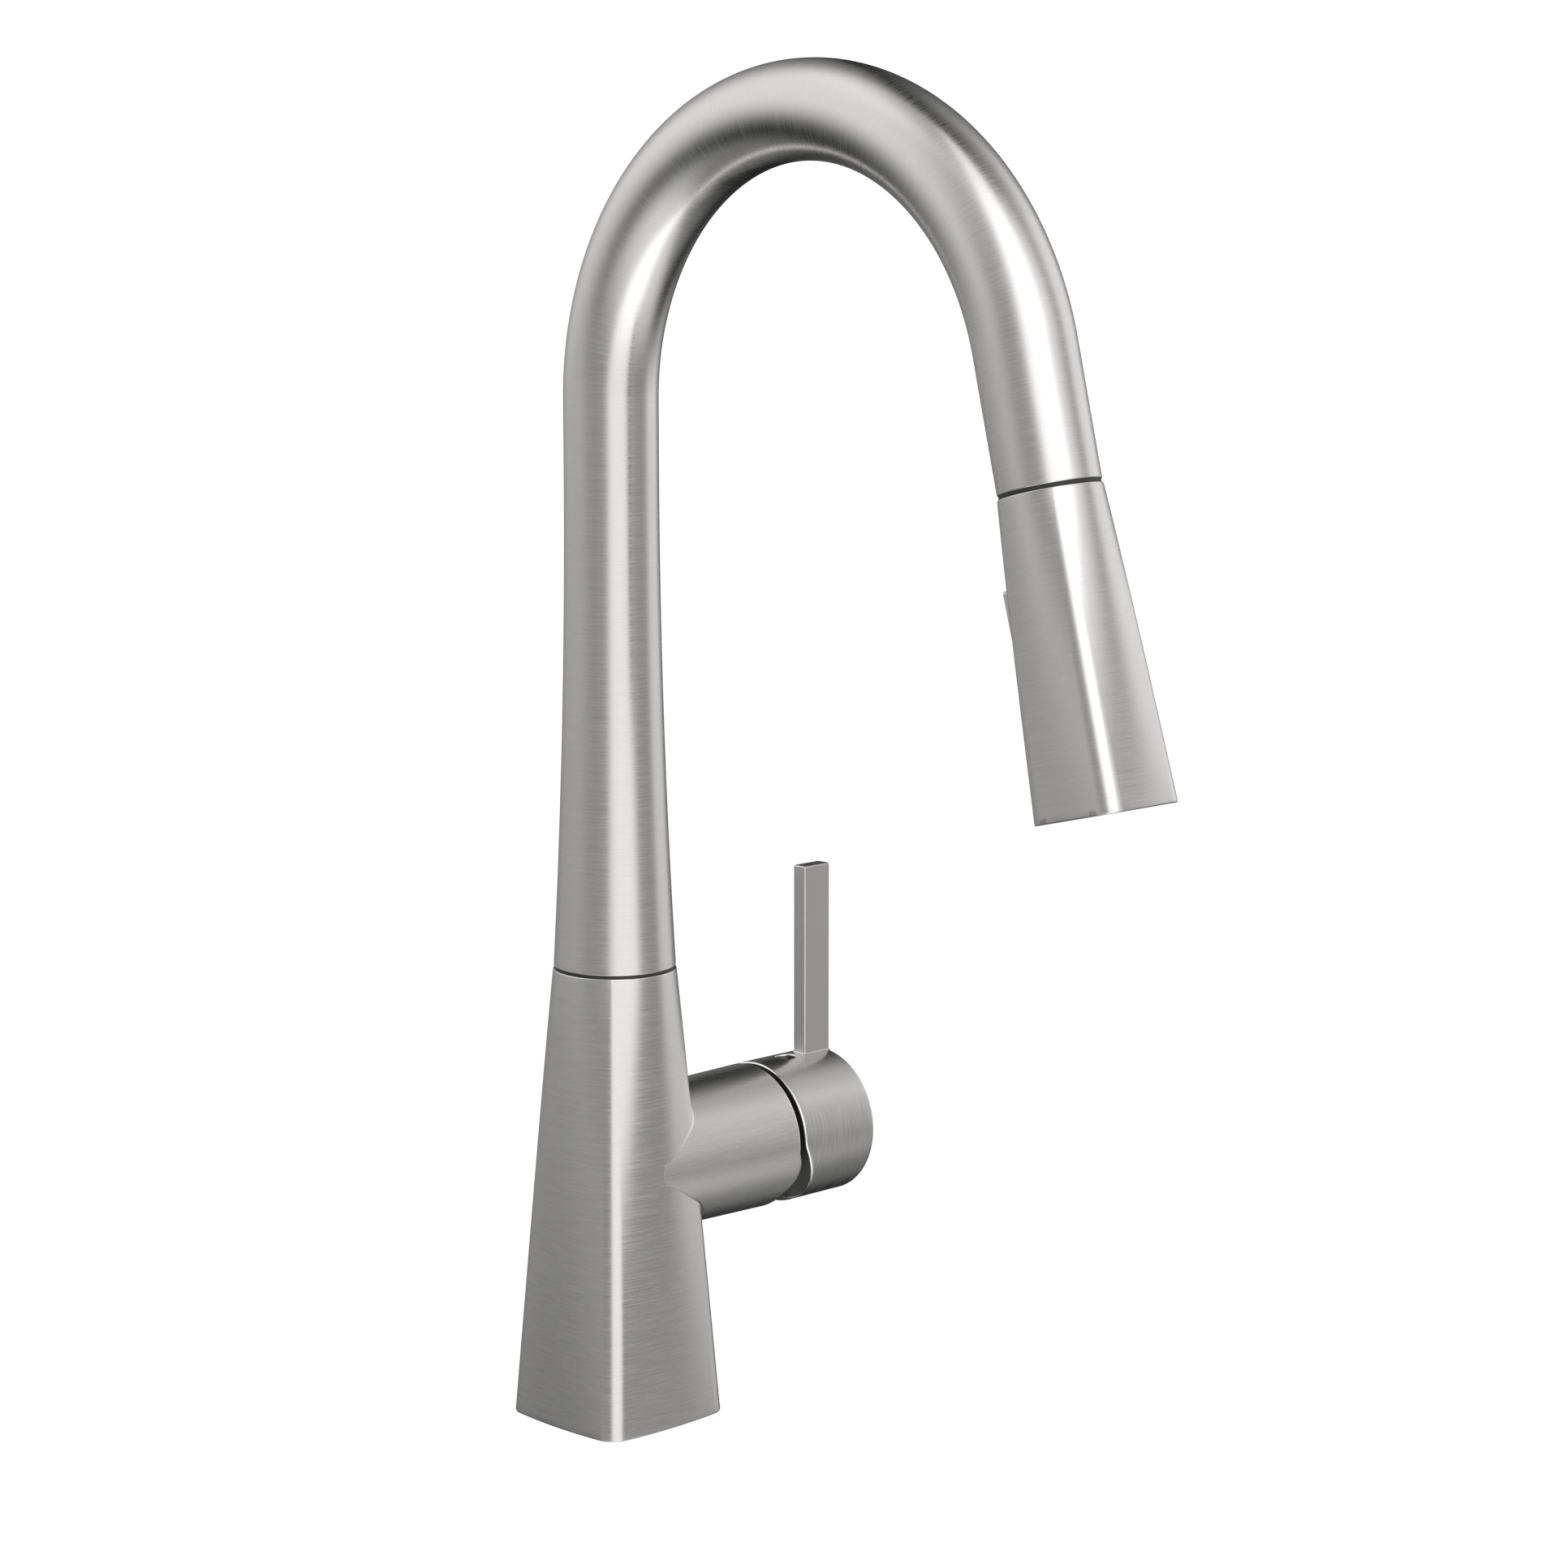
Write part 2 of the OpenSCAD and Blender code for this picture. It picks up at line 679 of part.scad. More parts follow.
// Braided hose, from its lower connector up the column, over the arch and down to the head
module spray_hose() color(GREY) {
  difference() {
    hose_solid(hose_r, 0);
    hose_solid(hose_bore_r, 0.5);
  }
}

module hose_solid(r, over) {
  translate([0, 0, hose_start_z - over]) cylinder(r = r, h = spring_z - hose_start_z + over);
  arch(r);
  on_outlet(-lap) cylinder(r = r - lap_step, h = lap + hose_end_at + over);
}

module hose_ferrule_lower() color(DARK_STEEL)
  translate([0, 0, crimp_z]) ring(hose_r, hose_r + crimp_wall, crimp_len);

module hose_quick_connector() color(WHITE) {
  difference() {
    union() {
      translate([0, 0, connector_z]) cylinder(r = hose_r + crimp_wall, h = hose_start_z - connector_z);
      translate([0, 0, hose_start_z - 1]) cylinder(r = hose_bore_r, h = 12);
    }
    translate([0, 0, connector_z - 0.5]) cylinder(r = connector_socket_r, h = 9);
    translate([0, 0, connector_z - 0.5]) cylinder(r = connector_bore_r, h = 30);
  }
}

// ---------------------------------------------------------------- hose end

module hose_ferrule_upper() color(DARK_STEEL)
  on_outlet(hose_end_at - ferrule_len) ring(hose_r - lap_step, hose_r + ferrule_wall, ferrule_len);

// Fitting crimped into the hose, which turns inside the swivel nut
module hose_tail() color(BRASS) {
  difference() {
    union() {
      on_outlet(hose_end_at - 12) cylinder(r = hose_bore_r - lap_step, h = 13);
      on_outlet(hose_end_at) cylinder(r = hose_r + ferrule_wall, h = 1.6);
      on_outlet(hose_end_at) cylinder(r = tail_r, h = tail_end_at - hose_end_at);
      on_outlet(tail_flange_at) cylinder(r = 6.3, h = 2);
    }
    on_outlet(hose_end_at - 13) cylinder(r = tail_bore_r, h = 40);
    on_outlet(tail_ring_at) ring(tail_r - tail_groove, tail_r + 1, tail_ring_w);
  }
}

module tail_oring() color(BLACK)
  on_outlet(tail_ring_at) ring(tail_r - tail_groove, tail_r + 0.05, tail_ring_w);

// ---------------------------------------------------------------- spray head

module hose_swivel_nut() color(BRASS) {
  difference() {
    union() {
      on_outlet(nut_start_at + 2) cylinder(r = swivel_nut_r, h = nut_end_at - nut_start_at - 2);
      on_outlet(nut_start_at) cylinder(r1 = swivel_nut_r - 1.4, r2 = swivel_nut_r, h = 2);
    }
    on_outlet(nut_start_at - 1) cylinder(r = tail_r + tail_fit, h = 20);
    on_outlet(tail_flange_at - 0.3) cylinder(r = nipple_r, h = 20);
  }
}

module inlet_nipple() color(BRASS) {
  difference() {
    union() {
      on_outlet(nipple_at) cylinder(r = nipple_r, h = 8);
      on_outlet(nipple_flange_at) cylinder(r = 9.6, h = core_at - nipple_flange_at);
    }
    on_outlet(nipple_at - 0.4) cylinder(r = tail_r + tail_fit, h = 7);
    on_outlet(nipple_at - 0.4) cylinder(r = nipple_bore_r, h = 20);
  }
}

// Perforated disc that keeps grit out of the head
module inlet_screen() color(DARK_STEEL) {
  difference() {
    on_outlet(screen_at) cylinder(r = tail_r, h = 0.7);
    for (i = [0:5])
      on_outlet(screen_at - 0.2) rotate([0, 0, i * 60]) translate([1.9, 0, 0])
        cylinder(r = 0.5, h = 2, $fn = 24);
    on_outlet(screen_at - 0.2) cylinder(r = 0.5, h = 2, $fn = 24);
  }
}

module head_dock_ring() color(DARK_STEEL) on_outlet(head_at + 0.2) ring(magnet_in_r, magnet_out_r, 1.6);

module head_shell() color(STEEL) {
  difference() {
    on_outlet(head_end_at) mirror([0, 0, 1])
      loft([for (f = [0, 0.2, 0.4, 0.6, 0.78, 0.9, 1]) [f * 0.97, f * head_len]],
           head_half, head_bulge_r, head_corner_r, tube_r - 0.03);
    on_outlet(head_at - 1) cylinder(r = swivel_nut_r + 0.6, h = 10);
    on_outlet(head_at - 1) ring(magnet_in_r, magnet_out_r, 2.8);
    on_outlet(head_bore_at) cylinder(r = head_bore_r, h = face_bore_at - head_bore_at + eps);
    on_outlet(face_bore_at) cylinder(r = face_bore_r, h = 20);
    on_outlet(toggle_at - 1.2) translate([-toggle_w / 2 - window_gap, -20, 0])
      cube([toggle_w + 2 * window_gap, 20, toggle_len + 1.8]);
  }
}

// Plastic waterway that fills the head: check valve bore, diverter bore and toggle pocket
module head_core() color(GREY) {
  difference() {
    union() {
      on_outlet(core_at) cylinder(r = core_r, h = 106 - core_at);
      on_outlet(106) cylinder(r = 11.2, h = core_end_at - 106);
    }
    on_outlet(core_at - 1) cylinder(r = valve_bore_r, h = valve_bore_end - core_at + 1);
    on_outlet(valve_bore_end - 1) translate([0, 4.6, 0]) cylinder(r = 2, h = 60);
    on_outlet(spool_at) cylinder(r = spool_r + 0.1, h = spool_end_at - spool_at + 1.5);
    on_outlet(96) cylinder(r = 2, h = 20);
    on_outlet(toggle_at - 3) translate([-10, -20, 0]) cube([20, 10.4, toggle_len + 5]);
    on_outlet(toggle_mid - 5) translate([-6.8, -20, 0]) cube([13.6, 14.2, 10]);
    on_outlet(toggle_mid - 3) translate([-2, -20, 0]) cube([4, 20, 6]);
    on_pin(-10) cylinder(r = toggle_pin_r, h = 20);
  }
}

module check_valve_body() color(WHITE) {
  difference() {
    on_outlet(check_at) cylinder(r = valve_bore_r - 0.05, h = check_len);
    on_outlet(check_at - 1) cylinder(r = seat_r, h = 4);
    on_outlet(52.5) cylinder(r = 4.4, h = 7);
    on_outlet(59) cylinder(r = 1.3, h = 4);
    for (i = [0:3])
      on_outlet(59) rotate([0, 0, 90 * i]) translate([3, 0, 0]) cylinder(r = 1, h = 4, $fn = 24);
  }
}

module check_poppet() color(BLUE) {
  on_outlet(poppet_at) cylinder(r = poppet_r, h = poppet_t);
  on_outlet(poppet_at + poppet_t - 0.1) cylinder(r = poppet_stem_r, h = 6.3);
}

// Closing spring of the check valve: a round wire swept along a helix
function coil_point(i, j) =
  let (
    a = i * 360 / spring_steps,
    w = j * 360 / wire_n,
    r = spring_r + wire_r * cos(w),
    rise = (spring_len - 2 * wire_r) * i / (spring_steps * spring_turns)
  )
  [r * cos(a), r * sin(a), wire_r + rise + wire_r * sin(w)];
module check_spring() color(DARK_STEEL) {
  rings = spring_steps * spring_turns;
  on_outlet(spring_at) polyhedron(
    points = [for (i = [0:rings]) for (j = [0:wire_n - 1]) coil_point(i, j)],
    faces = concat(
      [for (i = [0:rings - 1]) for (j = [0:wire_n - 1])
        let (a = i * wire_n + j, b = i * wire_n + (j + 1) % wire_n)
          each [[a, b, a + wire_n], [b, b + wire_n, a + wire_n]]],
      [[for (j = [wire_n - 1:-1:0]) j]], [[for (j = [0:wire_n - 1]) rings * wire_n + j]]
    ));
}

module toggle_pin() color(DARK_STEEL) on_pin(-8.8) cylinder(r = toggle_pin_r, h = 17.6);

// Rocker that switches between stream and spray: plate, two lugs and the arm that moves the spool
module toggle_paddle() color(STEEL) {
  difference() {
    union() {
      on_outlet(toggle_at) translate([-toggle_w / 2, 0, 0]) rotate([90, 0, 90])
        linear_extrude(height = toggle_w) polygon([
          [toggle_top_y, toggle_edge],
          [toggle_top_y + toggle_edge, 0],
          [-13.8, 0],
          [-13.3, toggle_len / 2],
          [-12.9, toggle_len],
          [toggle_low_y + toggle_edge, toggle_len],
          [toggle_low_y, toggle_len - toggle_edge],
          [(toggle_top_y + toggle_low_y) / 2, toggle_len / 2]
        ]);
      for (x = [-6, -lug_w / 2, 6 - lug_w]) {
        on_outlet(toggle_mid - lug_r) translate([x, -14, 0]) cube([lug_w, 6, 2 * lug_r]);
        on_pin(x) cylinder(r = lug_r, h = lug_w);
      }
      on_outlet(toggle_mid - 0.8) translate([-lug_w / 2, toggle_pin_y, 0])
        cube([lug_w, toggle_tip_y - toggle_pin_y, 1.6]);
      on_outlet(toggle_mid) translate([-lug_w / 2, toggle_tip_y, 0]) rotate([0, 90, 0])
        cylinder(r = toggle_tip_r, h = lug_w);
    }
    on_pin(-10) cylinder(r = toggle_pin_r + running, h = 20);
  }
}

module diverter_spool() color(BRASS) {
  difference() {
    on_outlet(spool_at + 0.6) cylinder(r = spool_r, h = spool_end_at - spool_at - 1);
    on_outlet(toggle_mid - 1.3) ring(1.7, spool_r + 1, 2.6);
    for (d = spool_ring_at) on_outlet(d) ring(spool_ring_r, spool_r + 1, spool_ring_w);
  }
}

module spool_orings() color(BLACK)
  for (d = spool_ring_at) on_outlet(d) ring(spool_ring_r, spool_r + 0.05, spool_ring_w);

// Repeats children at every nozzle, z along the flow, d from the end of the arch
module at_nozzles(d) {
  for (n = nozzle_rings) for (i = [1:n[1]])
    on_outlet(d) rotate([0, 0, i * 360 / n[1]]) translate([n[0], 0, 0]) children();
}

// Screwed-on face of the head with a hole for each nozzle
module spray_face() color(GREY) {
  difference() {
    union() {
      on_outlet(face_at) cylinder(r = face_bore_r - 0.1, h = face_end_at - face_at);
      on_outlet(107) cylinder(r = 12.2, h = face_at - 107);
    }
    on_outlet(106) cylinder(r = 11.2, h = face_at - 106);
    on_outlet(face_at - 1) cylinder(r = aerator_r + 0.1, h = 20);
    at_nozzles(face_at - 1) cylinder(r = nozzle_r, h = 10, $fn = 24);
  }
}

// Soft pad behind the face, whose hollow teats are the spray nozzles
module nozzle_pad() color(BLACK) {
  difference() {
    union() {
      on_outlet(face_at - 1.6) ring(aerator_r + 0.3, 11.6 - 0.4, 1.6);
      at_nozzles(face_at - 1) cylinder(r = nozzle_r, h = face_end_at - face_at + 1.5, $fn = 24);
    }
    at_nozzles(face_at - 2) cylinder(r = 0.4, h = 12, $fn = 24);
  }
}

module aerator_housing() color(GREY)
  on_outlet(core_end_at) ring(aerator_r - 1, aerator_r, face_end_at - core_end_at + 0.3);

module aerator_screen() color(DARK_STEEL) {
  difference() {
    on_outlet(face_end_at - 3) cylinder(r = aerator_r - 1, h = 1);
    for (x = [-3:1.5:3]) for (y = [-3:1.5:3])
      on_outlet(face_end_at - 4) translate([x, y, 0]) cylinder(r = 0.5, h = 4, $fn = 24);
  }
}

// ---------------------------------------------------------------- what is drawn

base_body();
deck_gasket();
waterway_block();
waterway_screws();
outlet_tube();
spout_post();
swivel_washer();
lower_glide_ring();
upper_glide_ring();
retaining_clip();
hose_guide();
cartridge_port_seals();
cartridge_base();
cartridge_housing();
fixed_disc();
bonnet_nut();
spout_tube();
spout_swivel_sleeve();
dock_collar();
dock_magnet();
spray_hose();
hose_ferrule_lower();
hose_quick_connector();
hose_ferrule_upper();
hose_tail();
tail_oring();
hose_swivel_nut();
inlet_nipple();
inlet_screen();
head_dock_ring();
head_shell();
head_core();
check_valve_body();
check_poppet();
check_spring();
toggle_pin();
toggle_paddle();
diverter_spool();
spool_orings();
spray_face();
nozzle_pad();
aerator_housing();
aerator_screen();
cartridge_carriage();
carriage_oring();
stem_pin();
moving_disc();
disc_driver();
cartridge_stem();
handle_cap();
handle_set_screw();
lever();
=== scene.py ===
"""Looks of the pull down kitchen faucet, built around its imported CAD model.

Shapes are worked out in millimetres and turned into metres when a mesh is made.
+Z is up, the spout reaches toward -Y and the valve sticks out toward +X.
"""

import json
import math

import bmesh
import bpy
import numpy as np
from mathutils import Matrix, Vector


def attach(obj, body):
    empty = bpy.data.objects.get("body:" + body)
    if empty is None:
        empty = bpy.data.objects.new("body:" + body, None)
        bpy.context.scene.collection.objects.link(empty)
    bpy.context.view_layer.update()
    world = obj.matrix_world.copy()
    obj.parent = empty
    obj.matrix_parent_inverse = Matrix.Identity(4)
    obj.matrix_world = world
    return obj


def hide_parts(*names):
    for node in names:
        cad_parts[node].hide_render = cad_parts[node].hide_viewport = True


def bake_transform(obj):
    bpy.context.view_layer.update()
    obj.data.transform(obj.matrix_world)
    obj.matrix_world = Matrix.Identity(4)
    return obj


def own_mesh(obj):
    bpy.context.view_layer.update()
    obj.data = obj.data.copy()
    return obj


MM = 0.001

# Base body: a bulging square at the deck that turns into a circle at the swivel seam
BODY_H = 140.8
BODY_HALF = 25.5
BODY_BULGE = 161.6
BODY_CORNER = 6.5
BODY_TRUE_CIRCLE = 144.8
SEAM_R = 18.7
SHANK_R = 16.0
CAVITY_R = 17.5

# Spout: flared column, arch and straight outlet
SPOUT_Z = 141.7
TUBE_R = 14.3
TUBE_WALL = 1.4
FLARE_Z = 295.5
ARCH_R = 84.3
SPRING_Z = 314.2
ARCH_SWEEP = math.radians(166)
OUTLET_LEN = 38.0

# Spray head: distances are along the outlet from the arch's end
HEAD_AT = 39.1
HEAD_LEN = 87.7
HEAD_HALF = 15.7
HEAD_BULGE = 151.8
HEAD_CORNER = 5.6
HEAD_TOP_R = 14.27
HEAD_TOP_T = 0.97
WINDOW = (61.8, 101.4)
WINDOW_HALF = 7.7
TOGGLE_AT = 63.0
TOGGLE_LEN = 37.8
TOGGLE_HALF = 7.5

# Valve sleeve and handle, whose axis is the line y = 0, z = VALVE_Z
VALVE_Z = 77.9
SLEEVE_R0 = 21.945
SLEEVE_TAPER = 1 / 54.6
SLEEVE_END = 57.6
CAP_R = 23.1
CAP_X = 59.7
CAP_END = 90.4
CAP_CUT = math.radians(25)
LEVER_X = (79.3, 90.6)
LEVER_T = 5.2
LEVER_TOP = 162.2

# Check valve's spring: where it starts, its length, its radius to the wire's middle, its turns
SPRING_AT = 54.1
SPRING_LEN = 4.6
SPRING_R = 2.3
SPRING_TURNS = 4
WIRE_R = 0.3

# Hose: its lower end in the base, and where its drawn-out piece starts along the outlet
HOSE_R = 6.0
HOSE_N = 48
HOSE_LOW = 31.0
HOSE_SPLIT = -33.0
PULL = 200.0

# Finishes of a piece that has more than one: its steel, a lighter steel on rounded edges as a painted highlight,
# and a darker steel inside as painted shade
STEEL, PAINTED_HIGHLIGHT, INSIDE = 0, 1, 2

GRAIN = "grain"
ROUND_BRUSH = (0.08, 0.08, 3.6)
SLEEVE_BRUSH = (0.06, 2.6, 2.6)
CAP_BRUSH = (3.6, 0.1, 0.1)


# ---------------------------------------------------------------- meshes


class Skin:
    """Vertices and faces of one mesh, gathered ring by ring."""

    def __init__(self):
        self.points = []
        self.grain = []
        self.faces = []
        self.finishes = []
        self.finish = 0

    def ring(self, points, grain=None):
        """Adds a ring of points and gives back the numbers of its vertices."""
        points = np.asarray(points, float)
        first = len(self.points)
        self.points.extend(points.tolist())
        self.grain.extend((points if grain is None else np.asarray(grain, float)).tolist())
        return list(range(first, first + len(points)))

    def face(self, *corners):
        """Adds a face, which takes the finish set at the time: the number of its material."""
        self.faces.append(corners)
        self.finishes.append(self.finish)

    def bridge(self, a, b, closed=True):
        """Quads between two rings of the same length."""
        n = len(a)
        for i in range(n if closed else n - 1):
            j = (i + 1) % n
            self.face(a[i], a[j], b[j], b[i])

    def tube(self, rings, grains=None):
        """Joins the rings one after another, and gives back their vertex numbers."""
        grains = grains or [None] * len(rings)
        made = [self.ring(r, g) for r, g in zip(rings, grains)]
        for a, b in zip(made, made[1:]):
            self.bridge(a, b)
        return made

    def fan(self, ring, centre):
        """Closes a ring with triangles to a centre point."""
        c = self.ring([centre])[0]
        n = len(ring)
        for i in range(n):
            self.face(ring[i], ring[(i + 1) % n], c)

    def shut(self, ring):
        """Closes a ring with one flat face."""
        self.face(*ring)

    def make(self, name, *materials, sharp=35.0, scale=(1.0, 1.0, 1.0)):
        """The mesh object, with its faces turned outward, smooth but for its sharp edges."""
        mesh = bpy.data.meshes.new(name)
        mesh.from_pydata((np.array(self.points) * MM).tolist(), [], self.faces)
        for material in materials:
            mesh.materials.append(material)
        mesh.polygons.foreach_set("material_index", self.finishes)
        attribute = mesh.attributes.new(GRAIN, "FLOAT_VECTOR", "POINT")
        attribute.data.foreach_set(
            "vector", (np.array(self.grain) * np.array(scale)).astype(np.float32).ravel()
        )
        mesh.validate()
        obj = bpy.data.objects.new(name, mesh)
        bpy.context.scene.collection.objects.link(obj)
        turn_outward(mesh)
        mesh.shade_smooth()
        mesh.set_sharp_from_angle(angle=math.radians(sharp))
        weighted = obj.modifiers.new("weighted_normals", "WEIGHTED_NORMAL")
        weighted.keep_sharp = True
        return obj


def turn_outward(mesh):
    work = bmesh.new()
    work.from_mesh(mesh)
    bmesh.ops.recalc_face_normals(work, faces=work.faces)
    work.to_mesh(mesh)
    work.free()


def rounded(steps=4):
    """Pairs (along, in) of a quarter round of radius 1, from the wall (0, 0) to the face (1, 1)."""
    turns = [math.pi / 2 * k / steps for k in range(steps + 1)]
    return [(math.sin(a), 1 - math.cos(a)) for a in turns]


def smoothstep(low, high, value):
    t = np.clip((np.asarray(value, float) - low) / (high - low), 0, 1)
    return t * t * (3 - 2 * t)


# ---------------------------------------------------------------- shared shapes


def loft_values(t, half, bulge, corner, circle_r):
    """Side radius, its centre's setback, the corner's centre and the side's half angle at t."""
    back0 = bulge - half
    q0 = -back0 / 2 + math.sqrt(bulge * bulge / 2 - back0 * back0 / 4)
    beta0 = math.asin(q0 / bulge)
    len0, len1 = bulge * beta0, circle_r * math.pi / 4
    q = (1 - t) * q0 + t * circle_r / math.sqrt(2)
    beta = math.atan2(
        (1 - t) * len0 * math.sin(beta0) + t * len1 * math.sin(math.pi / 4),
        (1 - t) * len0 * math.cos(beta0) + t * len1 * math.cos(math.pi / 4),
    )
    rho = q / math.sin(beta)
    back = rho * math.cos(beta) - q
    c = -back / 2 + math.sqrt((rho - corner) ** 2 / 2 - back * back / 4)
    return rho, back, c, math.atan2(c, c + back)


def loft_ring(t, shape, inset=0.0, split=None, side_n=40, corner_n=14):
    """One section as x, y points. Each side is sampled evenly, with points at +-split if given."""
    half, bulge, corner, circle_r = shape
    rho, back, c, th = loft_values(t, half, bulge, corner, circle_r)
    if split is None:
        angles = np.linspace(-th, th, side_n + 1)
    else:
        cut = math.asin(split / (rho - inset))
        outer, middle = side_n // 4, side_n // 2
        angles = np.concatenate(
            [
                np.linspace(-th, -cut, outer + 1),
                np.linspace(-cut, cut, middle + 1)[1:],
                np.linspace(cut, th, outer + 1)[1:],
            ]
        )
    side = np.stack(
        [(rho - inset) * np.cos(angles) - back, (rho - inset) * np.sin(angles)], 1
    )
    bends = np.linspace(th, math.pi / 2 - th, corner_n + 1)[1:-1]
    bend = np.stack(
        [c + (corner - inset) * np.cos(bends), c + (corner - inset) * np.sin(bends)], 1
    )
    quarter = np.concatenate([side, bend])
    turned = []
    for k in range(4):
        cs, sn = round(math.cos(k * math.pi / 2)), round(math.sin(k * math.pi / 2))
        turned.append(quarter @ np.array([[cs, sn], [-sn, cs]]))
    return np.concatenate(turned)


def circle(r, n, start=0.0):
    a = start + np.arange(n) * 2 * math.pi / n
    return np.stack([r * np.cos(a), r * np.sin(a)], 1)


def at_height(xy, z):
    return np.column_stack([xy, np.full(len(xy), z)])


ARCH_END = np.array(
    [
        0.0,
        -ARCH_R * (1 - math.cos(ARCH_SWEEP)),
        SPRING_Z + ARCH_R * math.sin(ARCH_SWEEP),
    ]
)
OUTLET_Y = np.array([0.0, math.cos(ARCH_SWEEP), math.sin(ARCH_SWEEP)])
OUTLET_D = np.array([0.0, -math.sin(ARCH_SWEEP), math.cos(ARCH_SWEEP)])


def on_outlet(points):
    """Points x, y, d of the outlet's own frame in the row's frame. Its +y side is the front."""
    p = np.asarray(points, float)
    return (
        ARCH_END
        + p[:, 0:1] * np.array([1.0, 0.0, 0.0])
        + p[:, 1:2] * OUTLET_Y
        + p[:, 2:3] * OUTLET_D
    )


def flare(z):
    """Outer radius of the column at the height z."""
    if z >= FLARE_Z:
        return TUBE_R
    rise = FLARE_Z - SPOUT_Z
    arc = (rise**2 + (SEAM_R - TUBE_R) ** 2) / (2 * (SEAM_R - TUBE_R))
    return TUBE_R + arc - math.sqrt(arc**2 - (FLARE_Z - z) ** 2)


# ---------------------------------------------------------------- materials


def nodes_of(name):
    material = bpy.data.materials.new(name)
    material.use_nodes = True
    tree = material.node_tree
    return material, tree, tree.nodes["Principled BSDF"]


def noise(tree, vector, scale, detail=3.0, rough=0.6):
    node = tree.nodes.new("ShaderNodeTexNoise")
    node.inputs["Scale"].default_value = scale
    node.inputs["Detail"].default_value = detail
    node.inputs["Roughness"].default_value = rough
    tree.links.new(vector, node.inputs["Vector"])
    return node.outputs["Fac"]


def ramp(tree, value, low, high, to_low, to_high):
    node = tree.nodes.new("ShaderNodeMapRange")
    node.inputs["From Min"].default_value = low
    node.inputs["From Max"].default_value = high
    node.inputs["To Min"].default_value = to_low
    node.inputs["To Max"].default_value = to_high
    tree.links.new(value, node.inputs["Value"])
    return node.outputs["Result"]


def colour_mix(tree, factor, a, b):
    node = tree.nodes.new("ShaderNodeMix")
    node.data_type = "RGBA"
    node.inputs["A"].default_value = (*a, 1)
    node.inputs["B"].default_value = (*b, 1)
    tree.links.new(factor, node.inputs["Factor"])
    return node.outputs["Result"]


def bump(tree, height, distance, strength=1.0):
    node = tree.nodes.new("ShaderNodeBump")
    node.inputs["Distance"].default_value = distance
    node.inputs["Strength"].default_value = strength
    tree.links.new(height, node.inputs["Height"])
    return node.outputs["Normal"]


def scaled(tree, vector, scale):
    node = tree.nodes.new("ShaderNodeVectorMath")
    node.operation = "MULTIPLY"
    node.inputs[1].default_value = scale
    tree.links.new(vector, node.inputs[0])
    return node.outputs["Vector"]


def add(tree, a, b, share=0.5):
    node = tree.nodes.new("ShaderNodeMix")
    node.data_type = "FLOAT"
    node.inputs["Factor"].default_value = share
    tree.links.new(a, node.inputs["A"])
    tree.links.new(b, node.inputs["B"])
    return node.outputs["Result"]


def brushed_steel(name, dark, light, relief, gloss):
    """Stainless steel with fine brush lines. The grain attribute is drawn out along the lines."""
    material, tree, shader = nodes_of(name)
    grain = tree.nodes.new("ShaderNodeAttribute")
    grain.attribute_name = GRAIN
    lines = noise(tree, grain.outputs["Vector"], 1.0, 3.0, 0.7)
    fine = noise(tree, scaled(tree, grain.outputs["Vector"], (2.3, 2.3, 2.3)), 1.0, 2.0, 0.6)
    both = add(tree, lines, fine, 0.5)
    shader.inputs["Metallic"].default_value = 1.0
    tone = ramp(tree, both, 0.35, 0.65, 0.0, 1.0)
    tree.links.new(
        colour_mix(tree, tone, (dark, dark * 0.993, dark * 0.98), (light, light * 0.993, light * 0.98)),
        shader.inputs["Base Color"],
    )
    tree.links.new(ramp(tree, lines, 0.32, 0.68, *gloss), shader.inputs["Roughness"])
    tree.links.new(bump(tree, both, 0.00002, relief), shader.inputs["Normal"])
    return material


def satin_steel():
    """Smoother stainless steel of the lever and the toggle."""
    material, tree, shader = nodes_of("satin_stainless")
    grain = tree.nodes.new("ShaderNodeAttribute")
    grain.attribute_name = GRAIN
    lines = noise(tree, grain.outputs["Vector"], 1.0, 2.0, 0.6)
    shader.inputs["Metallic"].default_value = 1.0
    tree.links.new(
        colour_mix(tree, lines, (0.655, 0.65, 0.64), (0.675, 0.67, 0.66)),
        shader.inputs["Base Color"],
    )
    tree.links.new(ramp(tree, lines, 0.3, 0.7, 0.30, 0.34), shader.inputs["Roughness"])
    return material


def plain(name, colour, roughness, metallic=0.0, spread=0.08, scale=900.0, height=0.00003):
    """Moulded or machined finish: slight mottling of the colour, an uneven gloss and a fine relief."""
    material, tree, shader = nodes_of(name)
    where = tree.nodes.new("ShaderNodeTexCoord").outputs["Object"]
    fine = noise(tree, where, scale, 3.0, 0.6)
    broad = noise(tree, where, scale / 12, 2.0, 0.5)
    both = add(tree, fine, broad, 0.5)
    dark = tuple(c * (1 - spread) for c in colour)
    light = tuple(min(1.0, c * (1 + spread)) for c in colour)
    tree.links.new(colour_mix(tree, both, dark, light), shader.inputs["Base Color"])
    tree.links.new(
        ramp(tree, both, 0.3, 0.7, roughness * 0.85, min(1.0, roughness * 1.15)),
        shader.inputs["Roughness"],
    )
    tree.links.new(bump(tree, fine, height, 0.4), shader.inputs["Normal"])
    shader.inputs["Metallic"].default_value = metallic
    return material


